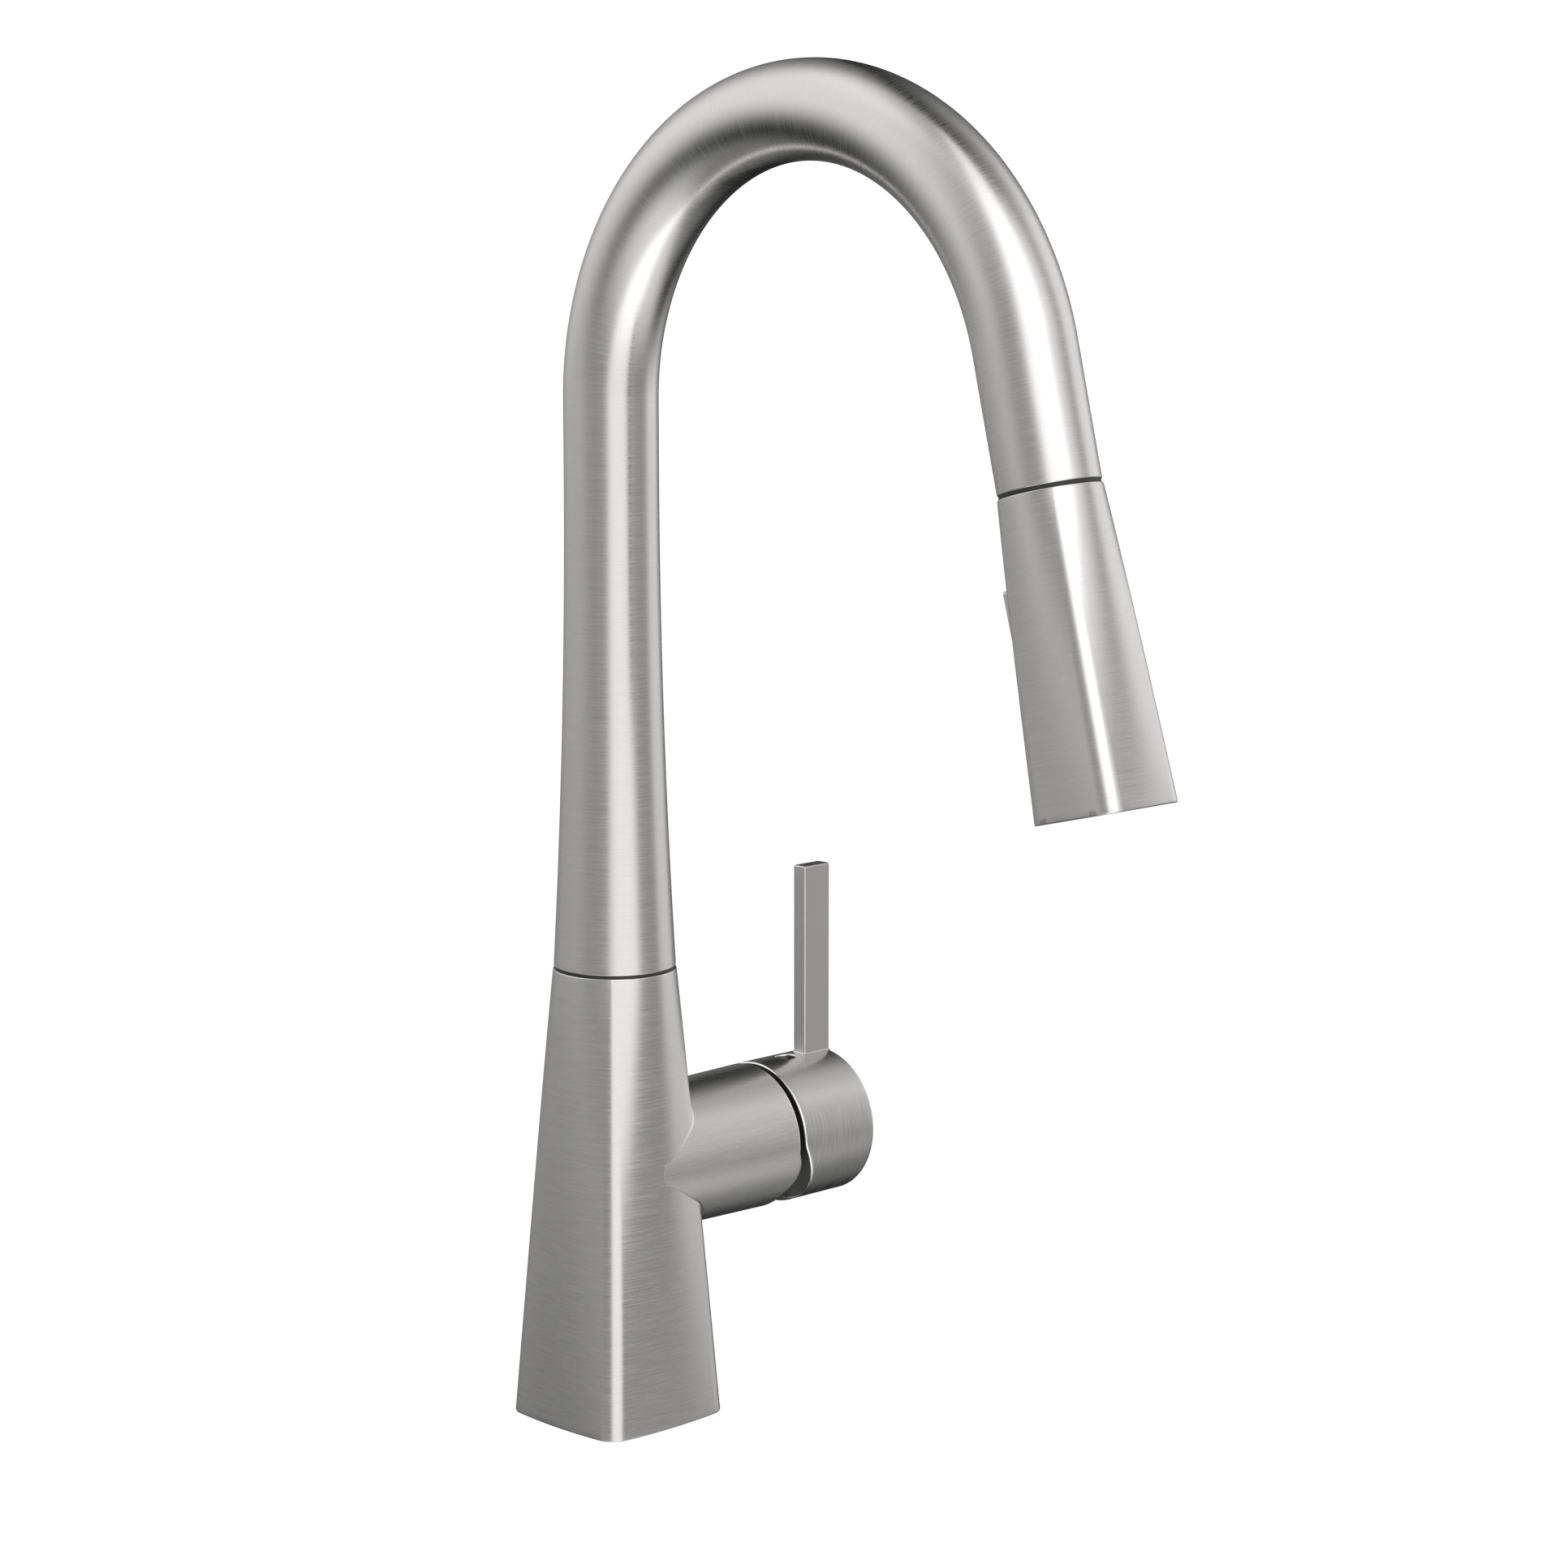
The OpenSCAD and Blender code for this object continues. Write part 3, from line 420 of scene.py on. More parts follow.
def braid():
    """Nylon braid: two families of strands that cross on the hose."""
    material, tree, shader = nodes_of("hose_braid")
    grain = tree.nodes.new("ShaderNodeAttribute")
    grain.attribute_name = GRAIN
    parts = tree.nodes.new("ShaderNodeSeparateXYZ")
    tree.links.new(grain.outputs["Vector"], parts.inputs[0])
    waves = []
    for sign in (1.0, -1.0):
        lean = tree.nodes.new("ShaderNodeMath")
        lean.operation = "MULTIPLY_ADD"
        lean.inputs[1].default_value = sign
        tree.links.new(parts.outputs["X"], lean.inputs[0])
        tree.links.new(parts.outputs["Z"], lean.inputs[2])
        wave = tree.nodes.new("ShaderNodeMath")
        wave.operation = "SINE"
        tree.links.new(lean.outputs[0], wave.inputs[0])
        waves.append(wave.outputs[0])
    cross = tree.nodes.new("ShaderNodeMath")
    cross.operation = "MULTIPLY"
    tree.links.new(waves[0], cross.inputs[0])
    tree.links.new(waves[1], cross.inputs[1])
    tone = ramp(tree, cross.outputs[0], -1.0, 1.0, 0.0, 1.0)
    tree.links.new(
        colour_mix(tree, tone, (0.10, 0.10, 0.105), (0.30, 0.30, 0.31)),
        shader.inputs["Base Color"],
    )
    tree.links.new(bump(tree, tone, 0.0004, 0.8), shader.inputs["Normal"])
    shader.inputs["Roughness"].default_value = 0.5
    shader.inputs["Sheen Weight"].default_value = 0.2
    return material


# ---------------------------------------------------------------- pieces


def body_shape():
    rate = (BODY_HALF - SEAM_R) / BODY_H
    return BODY_HALF, BODY_BULGE, BODY_CORNER, BODY_HALF - rate * BODY_TRUE_CIRCLE


def make_body(steel):
    """Outside of the base, its foot and its bore, down which the hoses run."""
    skin = Skin()
    shape = body_shape()
    rings = []
    foot, lip = 0.5, 0.35
    for along, inward in reversed(rounded(3)):
        z = foot * (1 - along)
        rings.append(at_height(loft_ring(z / BODY_TRUE_CIRCLE, shape, foot * inward), z))
    for z in np.linspace(foot, BODY_H - lip, 72)[1:-1]:
        rings.append(at_height(loft_ring(z / BODY_TRUE_CIRCLE, shape), z))
    for along, inward in rounded(3):
        z = BODY_H - lip * (1 - along)
        rings.append(at_height(loft_ring(z / BODY_TRUE_CIRCLE, shape, lip * inward), z))
    made = skin.tube(rings)
    n = len(rings[0])
    start = math.atan2(rings[-1][0][1], rings[-1][0][0])
    bores = [(16.5, BODY_H), (16.5, 134), (14.5, 134), (14.5, 104), (CAVITY_R, 104)]
    bores += [(CAVITY_R, 14), (SHANK_R, 14), (SHANK_R, 0)]
    inner = skin.tube([at_height(circle(r, n, start), z) for r, z in bores])
    skin.bridge(made[-1], inner[0])
    skin.bridge(inner[-1], made[0])
    return skin.make("body_shell", steel, scale=ROUND_BRUSH)


def body_distance(p):
    """Distance of the points p from the base's side, positive outside, by the section at their height."""
    shape = body_shape()
    out = np.empty(len(p))
    for i, (x, y, z) in enumerate(p):
        rho, back, c, th = loft_values(z / BODY_TRUE_CIRCLE, *shape)
        x, y = max(abs(x), abs(y)), min(abs(x), abs(y))
        bend = math.atan2(y - c, x - c)
        if y > c * x / (c + back) and th < bend < math.pi / 2 - th:
            out[i] = math.hypot(x - c, y - c) - BODY_CORNER
        else:
            out[i] = math.hypot(x + back, y) - rho
    return out


def body_normal(p):
    step = 0.02
    parts = []
    for axis in np.eye(3) * step:
        parts.append(body_distance(p + axis) - body_distance(p - axis))
    n = np.stack(parts, 1)
    return n / np.linalg.norm(n, axis=1, keepdims=True)


def sleeve_radius(x):
    return SLEEVE_R0 + SLEEVE_TAPER * np.asarray(x, float)


def sleeve_end(turn):
    """Where the sleeve ends at the angle turn from the top: a low chin on each lower side."""
    chin = smoothstep(94, 107, turn) * (1 - smoothstep(116, 134, turn))
    return SLEEVE_END + 1.3 * chin


def cap_rim(turn):
    """Where the cap's rim is: flat above, cut back below for the handle's tilt."""
    drop = -CAP_R * np.cos(np.radians(turn))
    soft = 0.5 * (drop + np.sqrt(drop**2 + 1.2**2))
    return CAP_X + math.tan(CAP_CUT) * (soft - 0.05)


def round_valve(x, r, turns):
    """Points round the valve's axis, at the angles turns from the top."""
    x, r = np.broadcast_to(x, turns.shape), np.broadcast_to(r, turns.shape)
    return np.column_stack([x, r * np.sin(turns), VALVE_Z + r * np.cos(turns)])


def make_sleeve(*finishes):
    """Valve sleeve with the fillet that runs it into the base."""
    n, fillet = 240, 1.6
    turns = np.arange(n) * 2 * math.pi / n
    tilt = math.atan(SLEEVE_TAPER)
    low, high = np.full(n, 0.5), np.full(n, 40.0)
    for _ in range(40):
        x = (low + high) / 2
        ball = round_valve(x, sleeve_radius(x) + fillet / math.cos(tilt), turns)
        outside = body_distance(ball) > fillet
        high = np.where(outside, x, high)
        low = np.where(outside, low, x)
    ball = round_valve(high, sleeve_radius(high) + fillet / math.cos(tilt), turns)
    to_body = body_normal(ball)
    reach = body_distance(ball)
    radial = np.column_stack([np.zeros(n), np.sin(turns), np.cos(turns)])
    to_sleeve = radial * math.cos(tilt) - np.array([math.sin(tilt), 0, 0])
    spread = np.arccos(np.clip((to_body * to_sleeve).sum(1), -1, 1))
    rings = [ball - to_body * (reach + 1.2)[:, None]]
    for k in range(11):
        s = k / 10
        sine = np.maximum(np.sin(spread), 1e-6)
        a = np.where(spread < 1e-3, 1 - s, np.sin((1 - s) * spread) / sine)
        b = np.where(spread < 1e-3, s, np.sin(s * spread) / sine)
        length = reach * (1 - s) + fillet * s
        rings.append(ball - (a[:, None] * to_body + b[:, None] * to_sleeve) * length[:, None])
    angle = np.degrees(np.minimum(turns, 2 * math.pi - turns))
    end = sleeve_end(angle)
    edge = 0.6 + 1.7 * smoothstep(112, 150, angle)
    first = rings[-1][:, 0]
    for f in np.linspace(0, 1, 40)[1:]:
        x = first + (end - edge - first) * f
        rings.append(round_valve(x, sleeve_radius(x), turns))
    skin = Skin()
    made = skin.tube([round_valve(21.5, 17.0, turns)] + rings)
    skin.fan(made[0], (21.5, 0, VALVE_Z))
    last = made[-1]
    # the sleeve's rounded end edge takes the lighter steel: a painted highlight
    skin.finish = PAINTED_HIGHLIGHT
    for along, inward in rounded(6)[1:]:
        x = end - edge * (1 - along)
        ring = skin.ring(round_valve(x, sleeve_radius(x) - edge * inward, turns))
        skin.bridge(last, ring)
        last = ring
    skin.finish = INSIDE
    for x, r in ((end, 20.2), (52.0, 20.2), (52.0, 17.7), (22.0, 17.7)):
        ring = skin.ring(round_valve(x, r, turns))
        skin.bridge(last, ring)
        last = ring
    skin.fan(last, (22.0, 0, VALVE_Z))
    return skin.make("valve_sleeve", *finishes, sharp=50, scale=SLEEVE_BRUSH)


def make_spout(steel):
    """The bent tube from the swivel seam to the outlet, in one piece."""
    n, lip = 128, 0.3
    around = circle(1.0, n)

    def column(z, r):
        return at_height(around * r, z)

    def bent(a, r):
        centre = np.array([0, -ARCH_R * (1 - math.cos(a)), SPRING_Z + ARCH_R * math.sin(a)])
        side = np.array([0.0, math.cos(a), math.sin(a)])
        return centre + around[:, 0:1] * r * np.array([1.0, 0, 0]) + around[:, 1:2] * r * side

    def straight(d, r):
        return on_outlet(np.column_stack([around * r, np.full(n, d)]))

    def unrolled(s, r):
        return at_height(around * r, s)

    arch_len = ARCH_R * ARCH_SWEEP
    stations = []
    for along, inward in reversed(rounded(3)):
        z = SPOUT_Z + lip * (1 - along)
        stations.append((column(z, flare(z) - lip * inward), z))
    for z in np.linspace(SPOUT_Z + lip, SPRING_Z, 60)[1:]:
        stations.append((column(z, flare(z)), z))
    for a in np.linspace(0, ARCH_SWEEP, 110)[1:]:
        stations.append((bent(a, TUBE_R), SPRING_Z + ARCH_R * a))
    for d in (8, 16, 24, 32):
        stations.append((straight(d, TUBE_R), SPRING_Z + arch_len + d))
    for along, inward in rounded(3):
        d = OUTLET_LEN - lip * (1 - along)
        stations.append((straight(d, TUBE_R - lip * inward), SPRING_Z + arch_len + d))
    bore = TUBE_R - TUBE_WALL
    for d in (OUTLET_LEN, 20, 0):
        stations.append((straight(d, bore), SPRING_Z + arch_len + d))
    for a in np.linspace(ARCH_SWEEP, 0, 50)[1:]:
        stations.append((bent(a, bore), SPRING_Z + ARCH_R * a))
    for z in np.linspace(SPRING_Z, SPOUT_Z, 30)[1:]:
        stations.append((column(z, flare(z) - TUBE_WALL), z))
    skin = Skin()
    rings = [s[0] for s in stations]
    grains = [unrolled(s[1], 15.0) for s in stations]
    made = skin.tube(rings, grains)
    skin.bridge(made[-1], made[0])
    return skin.make("spout_shell", steel, scale=ROUND_BRUSH)


def make_head(steel):
    """Spray head shell: a loft like the base's, with a window at the back for the toggle."""
    shape = (HEAD_HALF, HEAD_BULGE, HEAD_CORNER, HEAD_TOP_R)
    end, lip, rim = HEAD_AT + HEAD_LEN, 0.3, 0.45

    def section(d, inset=0.0):
        t = HEAD_TOP_T * (end - d) / HEAD_LEN
        return on_outlet(at_height(loft_ring(t, shape, inset, WINDOW_HALF), d))

    def unrolled(d):
        t = HEAD_TOP_T * (end - d) / HEAD_LEN
        return at_height(loft_ring(t, shape, 0.0, WINDOW_HALF), d)

    levels = [(HEAD_AT + lip * (1 - a), lip * i) for a, i in reversed(rounded(3))]
    levels += [(d, 0.0) for d in np.linspace(HEAD_AT + lip, WINDOW[0], 14)[1:]]
    levels += [(d, 0.0) for d in np.linspace(*WINDOW, 26)[1:]]
    levels += [(d, 0.0) for d in np.linspace(WINDOW[1], end - rim, 16)[1:]]
    levels += [(end - rim * (1 - a), rim * i) for a, i in rounded(3)[1:]]
    skin = Skin()
    made = [skin.ring(section(d, i), unrolled(d)) for d, i in levels]
    n = len(made[0])
    side_n, quarter = 40, n // 4
    first = 3 * quarter + side_n // 4
    gap = range(first, first + side_n // 2)
    depths = [d for d, _ in levels]
    top = next(k for k, d in enumerate(depths) if abs(d - WINDOW[0]) < 1e-6)
    low = next(k for k, d in enumerate(depths) if abs(d - WINDOW[1]) < 1e-6)
    for k, (a, b) in enumerate(zip(made, made[1:])):
        for i in range(n):
            if top <= k < low and i in gap:
                continue
            j = (i + 1) % n
            skin.face(a[i], a[j], b[j], b[i])
    start = math.atan2(*loft_ring(HEAD_TOP_T, shape, 0.0, WINDOW_HALF)[0][::-1])

    def round_ring(d, r):
        return on_outlet(at_height(circle(r, n, start), d))

    inside = [(9.0, HEAD_AT), (9.0, 43.2), (12.4, 43.2), (12.4, 118), (13.0, 118), (13.0, end)]
    bores = skin.tube([round_ring(d, r) for r, d in inside])
    skin.bridge(made[0], bores[0])
    skin.bridge(made[-1], bores[-1])
    edge = [made[k][first] for k in range(top, low + 1)]
    edge += [made[low][i] for i in range(first + 1, first + side_n // 2 + 1)]
    edge += [made[k][first + side_n // 2] for k in range(low - 1, top - 1, -1)]
    edge += [made[top][i] for i in range(first + side_n // 2 - 1, first, -1)]
    outline = np.array([skin.points[i] for i in edge])
    sunk = outline + OUTLET_Y * 2.4
    walls = skin.ring(sunk)
    skin.bridge(edge, walls)
    return skin.make("head_shell_skin", steel, sharp=40, scale=ROUND_BRUSH)


def make_toggle(steel):
    """Rocker plate with soft edges, two lugs and the arm that moves the spool."""
    skin = Skin()
    centre = TOGGLE_AT + TOGGLE_LEN / 2
    n_corner, corner, edge = 8, 0.9, 0.3

    def outline(inset):
        half_x, half_d, r = TOGGLE_HALF - inset, TOGGLE_LEN / 2 - inset, corner - inset
        points = []
        for k, (sx, sd) in enumerate([(1, 1), (-1, 1), (-1, -1), (1, -1)]):
            for a in np.linspace(k * math.pi / 2, (k + 1) * math.pi / 2, n_corner):
                x = sx * (half_x - r) + r * math.cos(a)
                points.append((x, sd * (half_d - r) + r * math.sin(a)))
        return np.array(points)

    def face(xd, lift):
        crown = -16.025 + 0.0278 * xd[:, 1] - 0.15 * (1 - (xd[:, 0] / TOGGLE_HALF) ** 2)
        return on_outlet(np.column_stack([xd[:, 0], crown + lift, centre + xd[:, 1]]))

    under = 2.5
    rings = [face(outline(0.0), under), face(outline(0.0), edge)]
    rings += [face(outline(edge * i), edge * (1 - a)) for a, i in rounded(4)[1:]]
    for share in (0.8, 0.55, 0.3):
        xd = outline(edge)
        rings.append(face(xd * share, 0.0))
    made = skin.tube(rings)
    skin.shut(made[-1])
    skin.shut(made[0])
    for x in (-6.0, -1.25, 3.5):
        half = 2.2
        turns = np.linspace(0, math.pi, 13)
        rounds = np.column_stack([-8.0 + half * np.sin(turns), half * np.cos(turns)])
        shape = np.vstack([[(-14.0, -half)], rounds[::-1], [(-14.0, half)]])
        if x == -1.25:
            shape = np.array(
                [(-14, -half), (-8, -half), (-7, -0.8), (-3, -0.8), (-1.9, 0), (-3, 0.8), (-7, 0.8), (-8, half), (-14, half)]
            )
        ends = [
            skin.ring(on_outlet(np.column_stack([np.full(len(shape), w), shape[:, 0], centre + shape[:, 1]])))
            for w in (x, x + 2.5)
        ]
        skin.bridge(*ends)
        skin.shut(ends[0])
        skin.shut(ends[1])
    return skin.make("toggle_rocker", steel, sharp=40, scale=(2.0, 0.1, 0.1))


def make_cap(*finishes):
    """Handle cap: brushed cylinder with its rim cut back below and the set screw's hole on top."""
    skin = Skin()
    n, edge = 240, 0.7
    turns = np.arange(n) * 2 * math.pi / n
    angle = np.degrees(np.minimum(turns, 2 * math.pi - turns))
    rim = cap_rim(angle)
    lip = 0.55
    hole_x, hole_r, patch = 73.0, 3.35, 7
    xs = [67.0 + k for k in range(13)]
    rings = [round_valve(rim + lip * (1 - a), CAP_R - lip * i, turns) for a, i in reversed(rounded(3))]
    first_row = len(rings) + 3
    for f in (0.35, 0.7):
        rings.append(round_valve(rim + lip + (xs[0] - rim - lip) * f, CAP_R, turns))
    rings.append(round_valve(xs[0], CAP_R, turns))
    rings += [round_valve(x, CAP_R, turns) for x in xs[1:]]
    for x in np.linspace(xs[-1], CAP_END - edge, 8)[1:]:
        rings.append(round_valve(x, CAP_R, turns))
    rings += [round_valve(CAP_END - edge * (1 - a), CAP_R - edge * i, turns) for a, i in rounded(4)[1:]]
    made = [skin.ring(r) for r in rings]
    for r in (21.0, 18.0, 15.0, 12.0, 9.0, 6.0, 4.0, 2.0, 1.0):
        spun = round_valve(CAP_END + CAP_R - r, CAP_R, turns)
        made.append(skin.ring(round_valve(CAP_END, r, turns), spun))
    rows = range(first_row - 1, first_row - 1 + 12)
    # the first rows, the rim's round, take the lighter steel: a painted highlight
    for k, (a, b) in enumerate(zip(made, made[1:])):
        skin.finish = PAINTED_HIGHLIGHT if k < 3 else STEEL
        for i in range(n):
            near = i < patch or i >= n - patch
            if k in rows and near:
                continue
            j = (i + 1) % n
            skin.face(a[i], a[j], b[j], b[i])
    skin.fan(made[-1], (CAP_END, 0, VALVE_Z))
    top, low = first_row - 1, first_row + 11
    loop = [made[top][(i - patch) % n] for i in range(2 * patch + 1)]
    loop += [made[k][patch] for k in range(top + 1, low + 1)]
    loop += [made[low][(patch - i) % n] for i in range(1, 2 * patch + 1)]
    loop += [made[k][n - patch] for k in range(low - 1, top, -1)]
    flat = []
    for i in loop:
        x, y, z = skin.points[i]
        flat.append((x - hole_x, CAP_R * math.atan2(y, z - VALVE_Z)))
    flat = np.array(flat)
    bearing = np.arctan2(flat[:, 1], flat[:, 0])
    goal = np.column_stack([np.cos(bearing), np.sin(bearing)])
    before = loop
    bevel = 0.5

    def laid(xs_, r):
        a = xs_[:, 1] / CAP_R
        return np.column_stack([hole_x + xs_[:, 0], r * np.sin(a), VALVE_Z + r * np.cos(a)])

    for f in (0.3, 0.6, 0.85, 1.0):
        ring = skin.ring(laid(flat * (1 - f) + goal * (hole_r + bevel) * f, CAP_R))
        skin.bridge(before, ring)
        before = ring
    # the hole's rim bevel takes the lighter steel: a painted highlight
    skin.finish = PAINTED_HIGHLIGHT
    for along, inward in rounded(3)[1:]:
        ring = skin.ring(laid(goal * (hole_r + bevel * (1 - along)), CAP_R - bevel * inward))
        skin.bridge(before, ring)
        before = ring
    skin.finish = INSIDE
    ring = skin.ring(laid(goal * hole_r, 12.0))
    skin.bridge(before, ring)
    skin.fan(ring, (hole_x, 0, VALVE_Z + 12.0))
    cut = made[0]
    bore = 17.6
    inner_rim = CAP_X + (rim - CAP_X) * bore / CAP_R
    steps = [(inner_rim, bore), (81.0, bore), (81.0, 8.5), (64.0, 8.5), (64.0, 3.4), (79.0, 3.4)]
    walls = skin.tube([round_valve(x, r, turns) for x, r in steps])
    skin.bridge(cut, walls[0])
    skin.fan(walls[-1], (79.0, 0, VALVE_Z))
    return skin.make("handle_cap_skin", *finishes, sharp=50, scale=CAP_BRUSH)


def make_lever(steel):
    """Flat lever bar: rounded edges, a small fillet where it stands on the cap."""
    skin = Skin()
    corner, fillet, edge = 0.55, 0.6, 0.5
    middle = (LEVER_X[0] + LEVER_X[1]) / 2

    def outline(grow):
        half_x = (LEVER_X[1] - LEVER_X[0]) / 2 + grow
        half_y, r = LEVER_T / 2 + grow, max(corner + grow, 0.05)
        points = []
        for k, (sx, sy) in enumerate([(1, 1), (-1, 1), (-1, -1), (1, -1)]):
            for a in np.linspace(k * math.pi / 2, (k + 1) * math.pi / 2, 6):
                points.append((middle + sx * (half_x - r) + r * math.cos(a), sy * (half_y - r) + r * math.sin(a)))
        return np.array(points)

    def seated(xy, up):
        z = VALVE_Z + np.sqrt(CAP_R**2 - np.clip(xy[:, 1], -8, 8) ** 2) + up
        return np.column_stack([xy, z])

    rings = [seated(outline(0.0), -2.0), seated(outline(fillet), -0.06)]
    rings[0][:, 0] = np.clip(rings[0][:, 0], None, CAP_END - 0.3)
    for k in range(6):
        a = math.pi / 2 * k / 5
        rings.append(seated(outline(fillet * (1 - math.sin(a))), fillet * (1 - math.cos(a))))
    for ring in rings[1:]:
        ring[:, 0] = np.minimum(ring[:, 0], LEVER_X[1])
    for z in np.linspace(VALVE_Z + CAP_R + 2, LEVER_TOP - edge, 12):
        rings.append(at_height(outline(0.0), z))
    for along, inward in rounded(4)[1:]:
        rings.append(at_height(outline(-edge * inward), LEVER_TOP - edge * (1 - along)))
    made = skin.tube(rings)
    skin.shut(made[0])
    skin.shut(made[-1])
    return skin.make("lever_bar", steel, sharp=40, scale=(3.0, 3.0, 0.08))


def hose_strands(along):
    """Grain of a ring of the hose: the angle across, the length along for both braid families."""
    turns = np.arange(HOSE_N) * 2 * math.pi / HOSE_N
    return np.column_stack([turns * 8, np.zeros(HOSE_N), np.full(HOSE_N, along * 2.2)])


def hose_piece(name, material, stations):
    """Hose through the stations, each a ring of points and its length along the hose."""
    skin = Skin()
    made = skin.tube([ring for ring, _ in stations], [hose_strands(s) for _, s in stations])
    skin.shut(made[0])
    skin.shut(made[-1])
    return skin.make(name, material, sharp=40)


def make_hose(material):
    """Braided hose in two pieces: one is attached to the spout, the other runs on into the outlet.

    The strands of the second are laid out for the pulled-out hose, which is when it shows.
    """
    around = circle(HOSE_R, HOSE_N)
    start, end = HOSE_SPLIT, 24.0

    def bent(a):
        centre = np.array([0, -ARCH_R * (1 - math.cos(a)), SPRING_Z + ARCH_R * math.sin(a)])
        side = np.array([0.0, math.cos(a), math.sin(a)])
        return centre + around[:, 0:1] * np.array([1.0, 0, 0]) + around[:, 1:2] * side

    split = ARCH_SWEEP + HOSE_SPLIT / ARCH_R
    stations = []
    for z in np.linspace(HOSE_LOW, SPRING_Z, 40):
        stations.append((at_height(around, z), z - SPRING_Z - ARCH_R * ARCH_SWEEP))
    for a in np.linspace(0, split, 70)[1:]:
        stations.append((bent(a), ARCH_R * (a - ARCH_SWEEP)))
    kept = hose_piece("braided_hose_kept", material, stations)
    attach(kept, "spout")

    stations = []
    for a in np.linspace(split, ARCH_SWEEP, 24):
        stations.append((bent(a), ARCH_R * (a - ARCH_SWEEP)))
    for d in np.linspace(0, 26, 40)[1:]:
        stations.append((on_outlet(at_height(around, d)), d))
    stretched = [(ring, s + PULL * float(smoothstep(start, end, s))) for ring, s in stations]
    drawn_out = hose_piece("braided_hose_drawn", material, stretched)
    a, b = on_outlet([(0, 0, start), (0, 0, end)]) * MM
    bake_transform(drawn_out)
    return kept, drawn_out


def make_spring(material):
    """Coil spring of the check valve."""
    skin = Skin()
    per_turn = 24
    wire = circle(WIRE_R, 10)
    rise = (SPRING_LEN - 2 * WIRE_R) / (per_turn * SPRING_TURNS)
    rings = []
    for i in range(per_turn * SPRING_TURNS + 1):
        a = i * 2 * math.pi / per_turn
        r = SPRING_R + wire[:, 0]
        d = SPRING_AT + WIRE_R + rise * i + wire[:, 1]
        rings.append(on_outlet(np.column_stack([r * math.cos(a), r * math.sin(a), d])))
    made = skin.tube(rings)
    skin.shut(made[0])
    skin.shut(made[-1])
    spring = skin.make("coil_spring", material)
    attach(spring, "spray_head")
    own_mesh(spring)
    return spring


# ---------------------------------------------------------------- stage, light, camera

CAMERA = Vector((-0.7734, -0.8612, 0.3814))
YAW = math.radians(44.489)
PITCH = math.radians(9.038)


def make_camera():
    data = bpy.data.cameras.new("camera")
    data.lens = 88.5
    data.sensor_width = 36.0
    data.clip_start, data.clip_end = 0.05, 50.0
    camera = bpy.data.objects.new("camera", data)
    camera.location = CAMERA
    forward = Vector(
        (math.sin(YAW) * math.cos(PITCH), math.cos(YAW) * math.cos(PITCH), -math.sin(PITCH))
    )
    camera.rotation_euler = forward.to_track_quat("-Z", "Y").to_euler()
    bpy.context.scene.collection.objects.link(camera)
    bpy.context.scene.camera = camera


# Studio light, all in the world: level, azimuth from, to and softness, elevation from, to and
# softness, in degrees. Azimuth 0 is behind the camera, positive to the picture's right.
PANELS = [
    ("room", 0.38, -172, 160, 20, -16, 66, 18),
    ("left", 0.63, -142, -62, 22, 1, 68, 20),
    ("right", 0.64, 97, 142, 11, -14, 42, 16),
    ("key", 0.81, -6, 50, 9, -95, 95, 5),
    ("key_top", 0.50, -16, 80, 13, 12, 58, 10),
    ("key_side", 0.20, 36, 66, 10, 4, 42, 10),
    ("fill", 0.14, -72, -24, 12, 24, 62, 10),
    ("floor", 0.74, -66, 98, 20, -95, -22, 14),
    ("floor_wide", 0.21, -180, 150, 30, -95, -41, 14),
    ("ceiling", 0.45, -150, 62, 30, 56, 95, 14),
]


def smooth_window(tree, value, low, high, soft):
    """1 between low and high, falling smoothly to 0 over soft on both sides."""
    sides = []
    for edge, sign in ((low, 1), (high, -1)):
        node = tree.nodes.new("ShaderNodeMapRange")
        node.interpolation_type = "SMOOTHSTEP"
        node.inputs["From Min"].default_value = math.radians(edge - sign * soft)
        node.inputs["From Max"].default_value = math.radians(edge + sign * soft)
        tree.links.new(value, node.inputs["Value"])
        sides.append(node.outputs["Result"])
    return maths(tree, "MULTIPLY", *sides)


def maths(tree, operation, *values):
    node = tree.nodes.new("ShaderNodeMath")
    node.operation = operation
    for socket, value in zip(node.inputs, values):
        if isinstance(value, (int, float)):
            socket.default_value = value
        else:
            tree.links.new(value, socket)
    return node.outputs[0]


def make_world():
    """Light panels round the faucet, which its steel reflects."""
    world = bpy.data.worlds.new("studio")
    world.use_nodes = True
    tree = world.node_tree
    background = tree.nodes["Background"]
    where = tree.nodes.new("ShaderNodeTexCoord").outputs["Generated"]
    turned = tree.nodes.new("ShaderNodeVectorRotate")
    turned.rotation_type = "Z_AXIS"
    turned.inputs["Angle"].default_value = YAW
    tree.links.new(where, turned.inputs["Vector"])
    parts = tree.nodes.new("ShaderNodeSeparateXYZ")
    tree.links.new(turned.outputs["Vector"], parts.inputs[0])
    toward = maths(tree, "MULTIPLY", parts.outputs["Y"], -1.0)
    azimuth = maths(tree, "ARCTAN2", parts.outputs["X"], toward)
    elevation = maths(tree, "ARCSINE", parts.outputs["Z"])
    total = None
    for _, level, a0, a1, a_soft, e0, e1, e_soft in PANELS:
        across = smooth_window(tree, azimuth, a0, a1, a_soft)
        up = smooth_window(tree, elevation, e0, e1, e_soft)
        lit = maths(tree, "MULTIPLY", maths(tree, "MULTIPLY", across, up), level)
        total = lit if total is None else maths(tree, "ADD", total, lit)
    tree.links.new(total, background.inputs["Strength"])
    background.inputs["Color"].default_value = (1.0, 0.995, 0.985, 1)
    bpy.context.scene.world = world


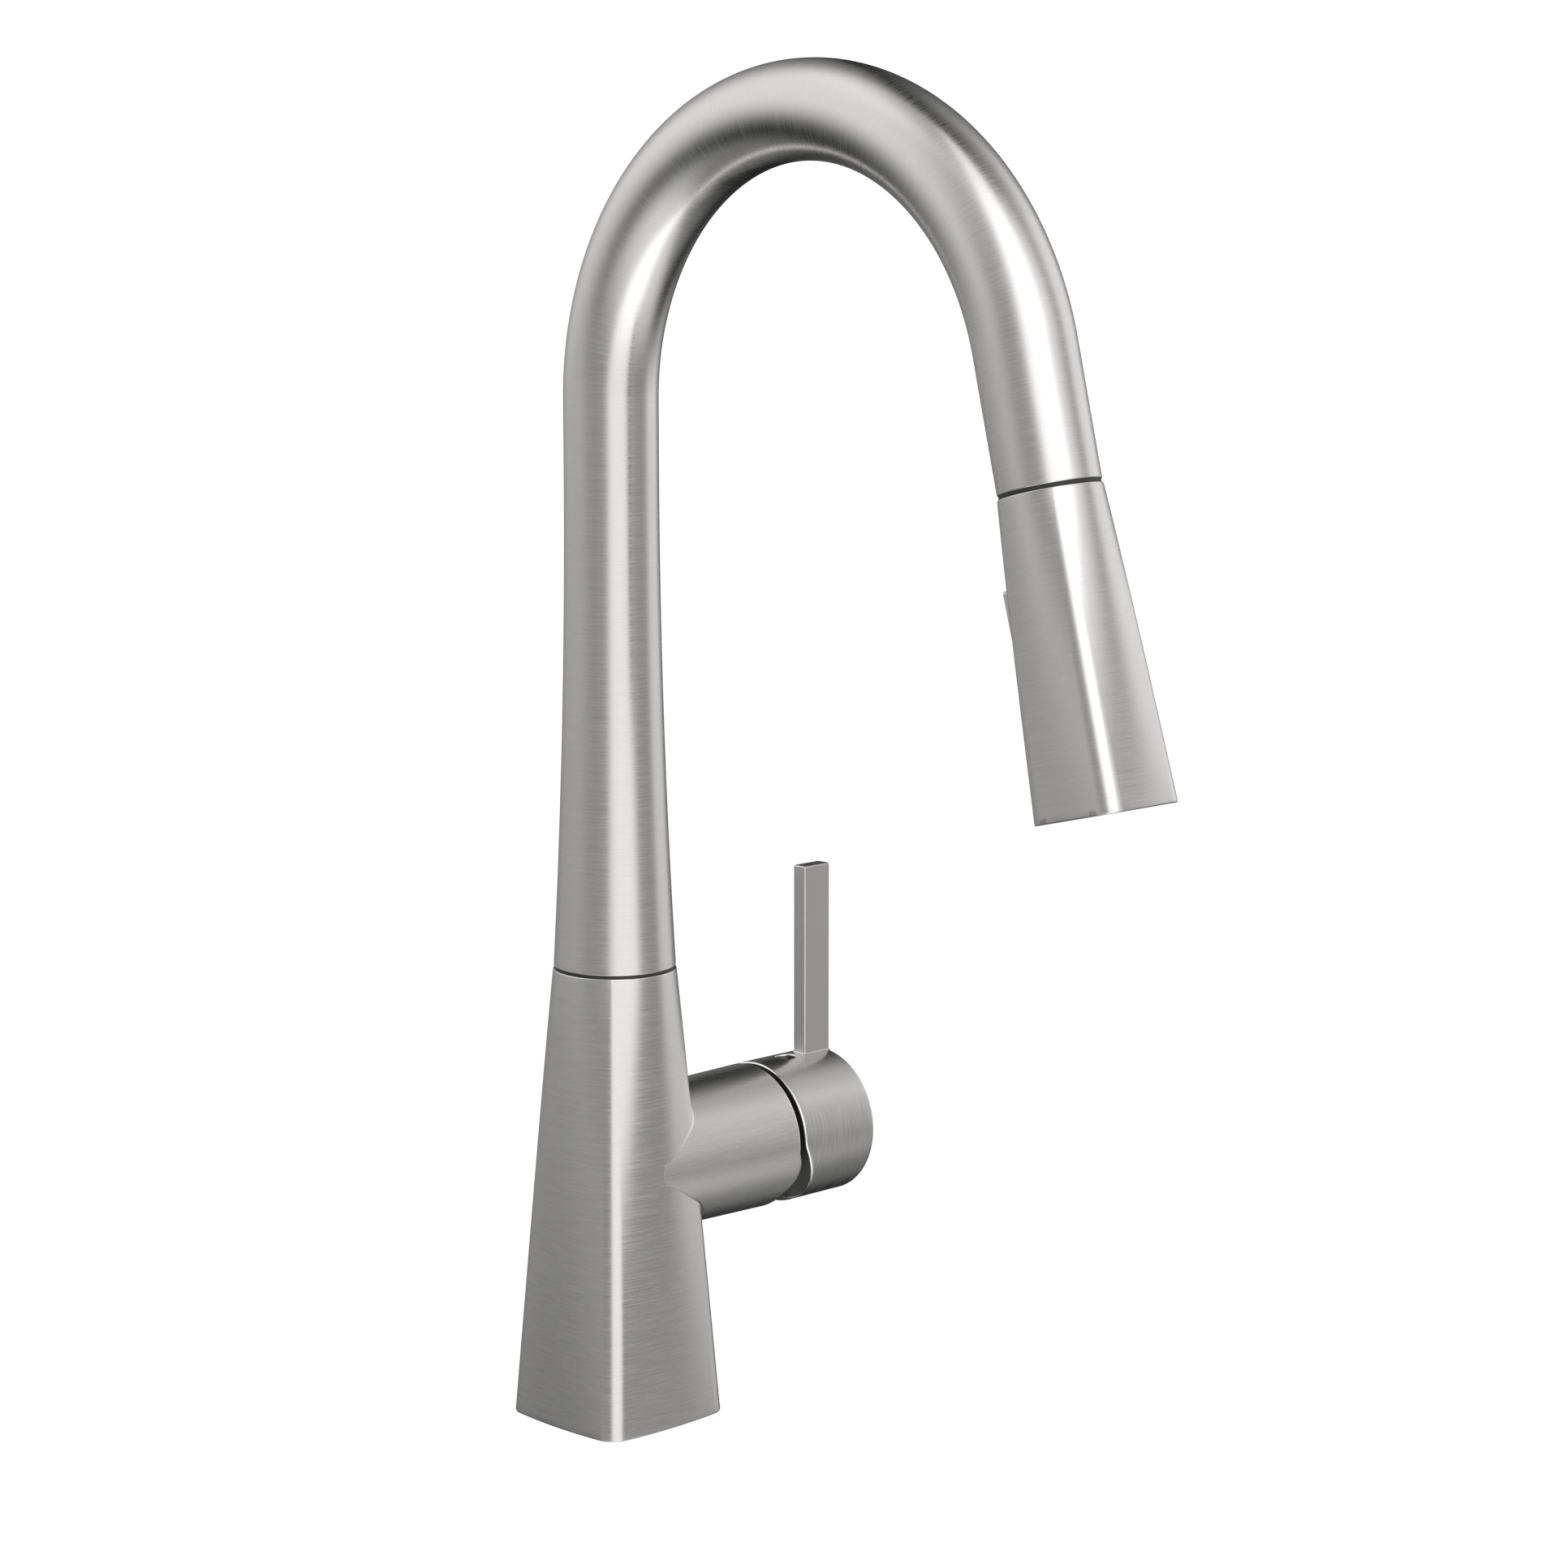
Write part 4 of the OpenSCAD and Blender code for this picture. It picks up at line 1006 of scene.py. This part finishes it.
def make_stage():
    """Pale floor that runs up into a backdrop all round the faucet."""
    skin = Skin()
    profile = [(r, 0.0) for r in (50, 200, 600, 1200, 2000)]
    for a in np.linspace(0, math.pi / 2, 24)[1:]:
        profile.append((2000 + 1500 * math.sin(a), 1500 * (1 - math.cos(a))))
    profile.append((3500, 4500))
    made = skin.tube([at_height(circle(r, 96), z) for r, z in profile])
    skin.fan(made[0], (0, 0, 0))
    material, tree, shader = nodes_of("paper")
    where = tree.nodes.new("ShaderNodeTexCoord").outputs["Object"]
    grain = noise(tree, where, 40.0)
    tree.links.new(
        colour_mix(tree, grain, (0.20, 0.20, 0.20), (0.24, 0.24, 0.24)),
        shader.inputs["Base Color"],
    )
    shader.inputs["Roughness"].default_value = 0.9
    shader.inputs["Emission Color"].default_value = (1, 1, 1, 1)
    shader.inputs["Emission Strength"].default_value = 0.86
    floor = skin.make("studio_floor", material)
    floor.visible_glossy = False
    floor.visible_diffuse = False
    floor.visible_shadow = False


# ---------------------------------------------------------------- the scene

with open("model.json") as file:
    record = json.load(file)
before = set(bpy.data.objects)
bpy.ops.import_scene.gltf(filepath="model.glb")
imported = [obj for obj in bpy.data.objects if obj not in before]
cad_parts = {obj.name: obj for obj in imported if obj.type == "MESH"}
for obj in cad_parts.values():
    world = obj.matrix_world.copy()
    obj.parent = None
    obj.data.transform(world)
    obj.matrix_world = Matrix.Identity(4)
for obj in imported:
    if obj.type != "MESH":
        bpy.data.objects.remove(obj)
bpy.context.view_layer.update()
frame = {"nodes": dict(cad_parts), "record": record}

brushed = brushed_steel("brushed_stainless", 0.64, 0.71, 0.2, (0.20, 0.33))
drawn = brushed_steel("drawn_stainless", 0.73, 0.78, 0.08, (0.25, 0.31))
satin = satin_steel()
# lighter copy of the steel for rounded edges and rims: a painted highlight
painted_highlight_steel = plain("painted_highlight_edge", (0.90, 0.895, 0.88), 0.2, 1.0, 0.03)
shaded = plain("shaded_steel", (0.26, 0.26, 0.257), 0.42, 1.0)
finishes = {
    "brushed_stainless": brushed,
    "machined_steel": plain("machined_steel", (0.48, 0.48, 0.48), 0.3, 1.0),
    "brass": plain("brass", (0.75, 0.58, 0.28), 0.32, 1.0),
    "copper": plain("copper", (0.72, 0.40, 0.24), 0.3, 1.0),
    "black_plastic": plain("black_plastic", (0.022, 0.022, 0.023), 0.55),
    "grey_plastic": plain("grey_plastic", (0.14, 0.14, 0.145), 0.5),
    "white_plastic": plain("white_plastic", (0.80, 0.80, 0.77), 0.45),
    "blue_plastic": plain("blue_plastic", (0.08, 0.16, 0.42), 0.45),
    "ceramic": plain("ceramic", (0.86, 0.84, 0.78), 0.2),
    "black_rubber": plain("black_rubber", (0.018, 0.018, 0.018), 0.75),
    "nozzle_rubber": plain("nozzle_rubber", (0.16, 0.16, 0.17), 0.65),
    "hose_braid": braid(),
}
for row in frame["record"]["subparts"]:
    node = frame["nodes"][row["node"]]
    node.data.materials.clear()
    node.data.materials.append(finishes[row["material_slot"]])

steel_pieces = [
    (make_body(brushed), "base", []),
    (make_sleeve(drawn, painted_highlight_steel, shaded), "base", ["base_body"]),
    (make_spout(brushed), "spout", ["spout_tube"]),
    (make_head(brushed), "spray_head", ["head_shell"]),
    (make_toggle(satin), "toggle", ["toggle_paddle"]),
    (make_cap(brushed, painted_highlight_steel, shaded), "handle", ["handle_cap"]),
    (make_lever(satin), "handle", ["lever"]),
]
for piece, body, stood_for in steel_pieces:
    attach(piece, body)
    if stood_for:
        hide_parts(*stood_for)

for hose in make_hose(finishes["hose_braid"]):
    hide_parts("spray_hose")

spring = make_spring(finishes["machined_steel"])
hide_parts("check_spring")

make_camera()
make_world()
make_stage()

bpy.context.scene.view_settings.view_transform = "Standard"
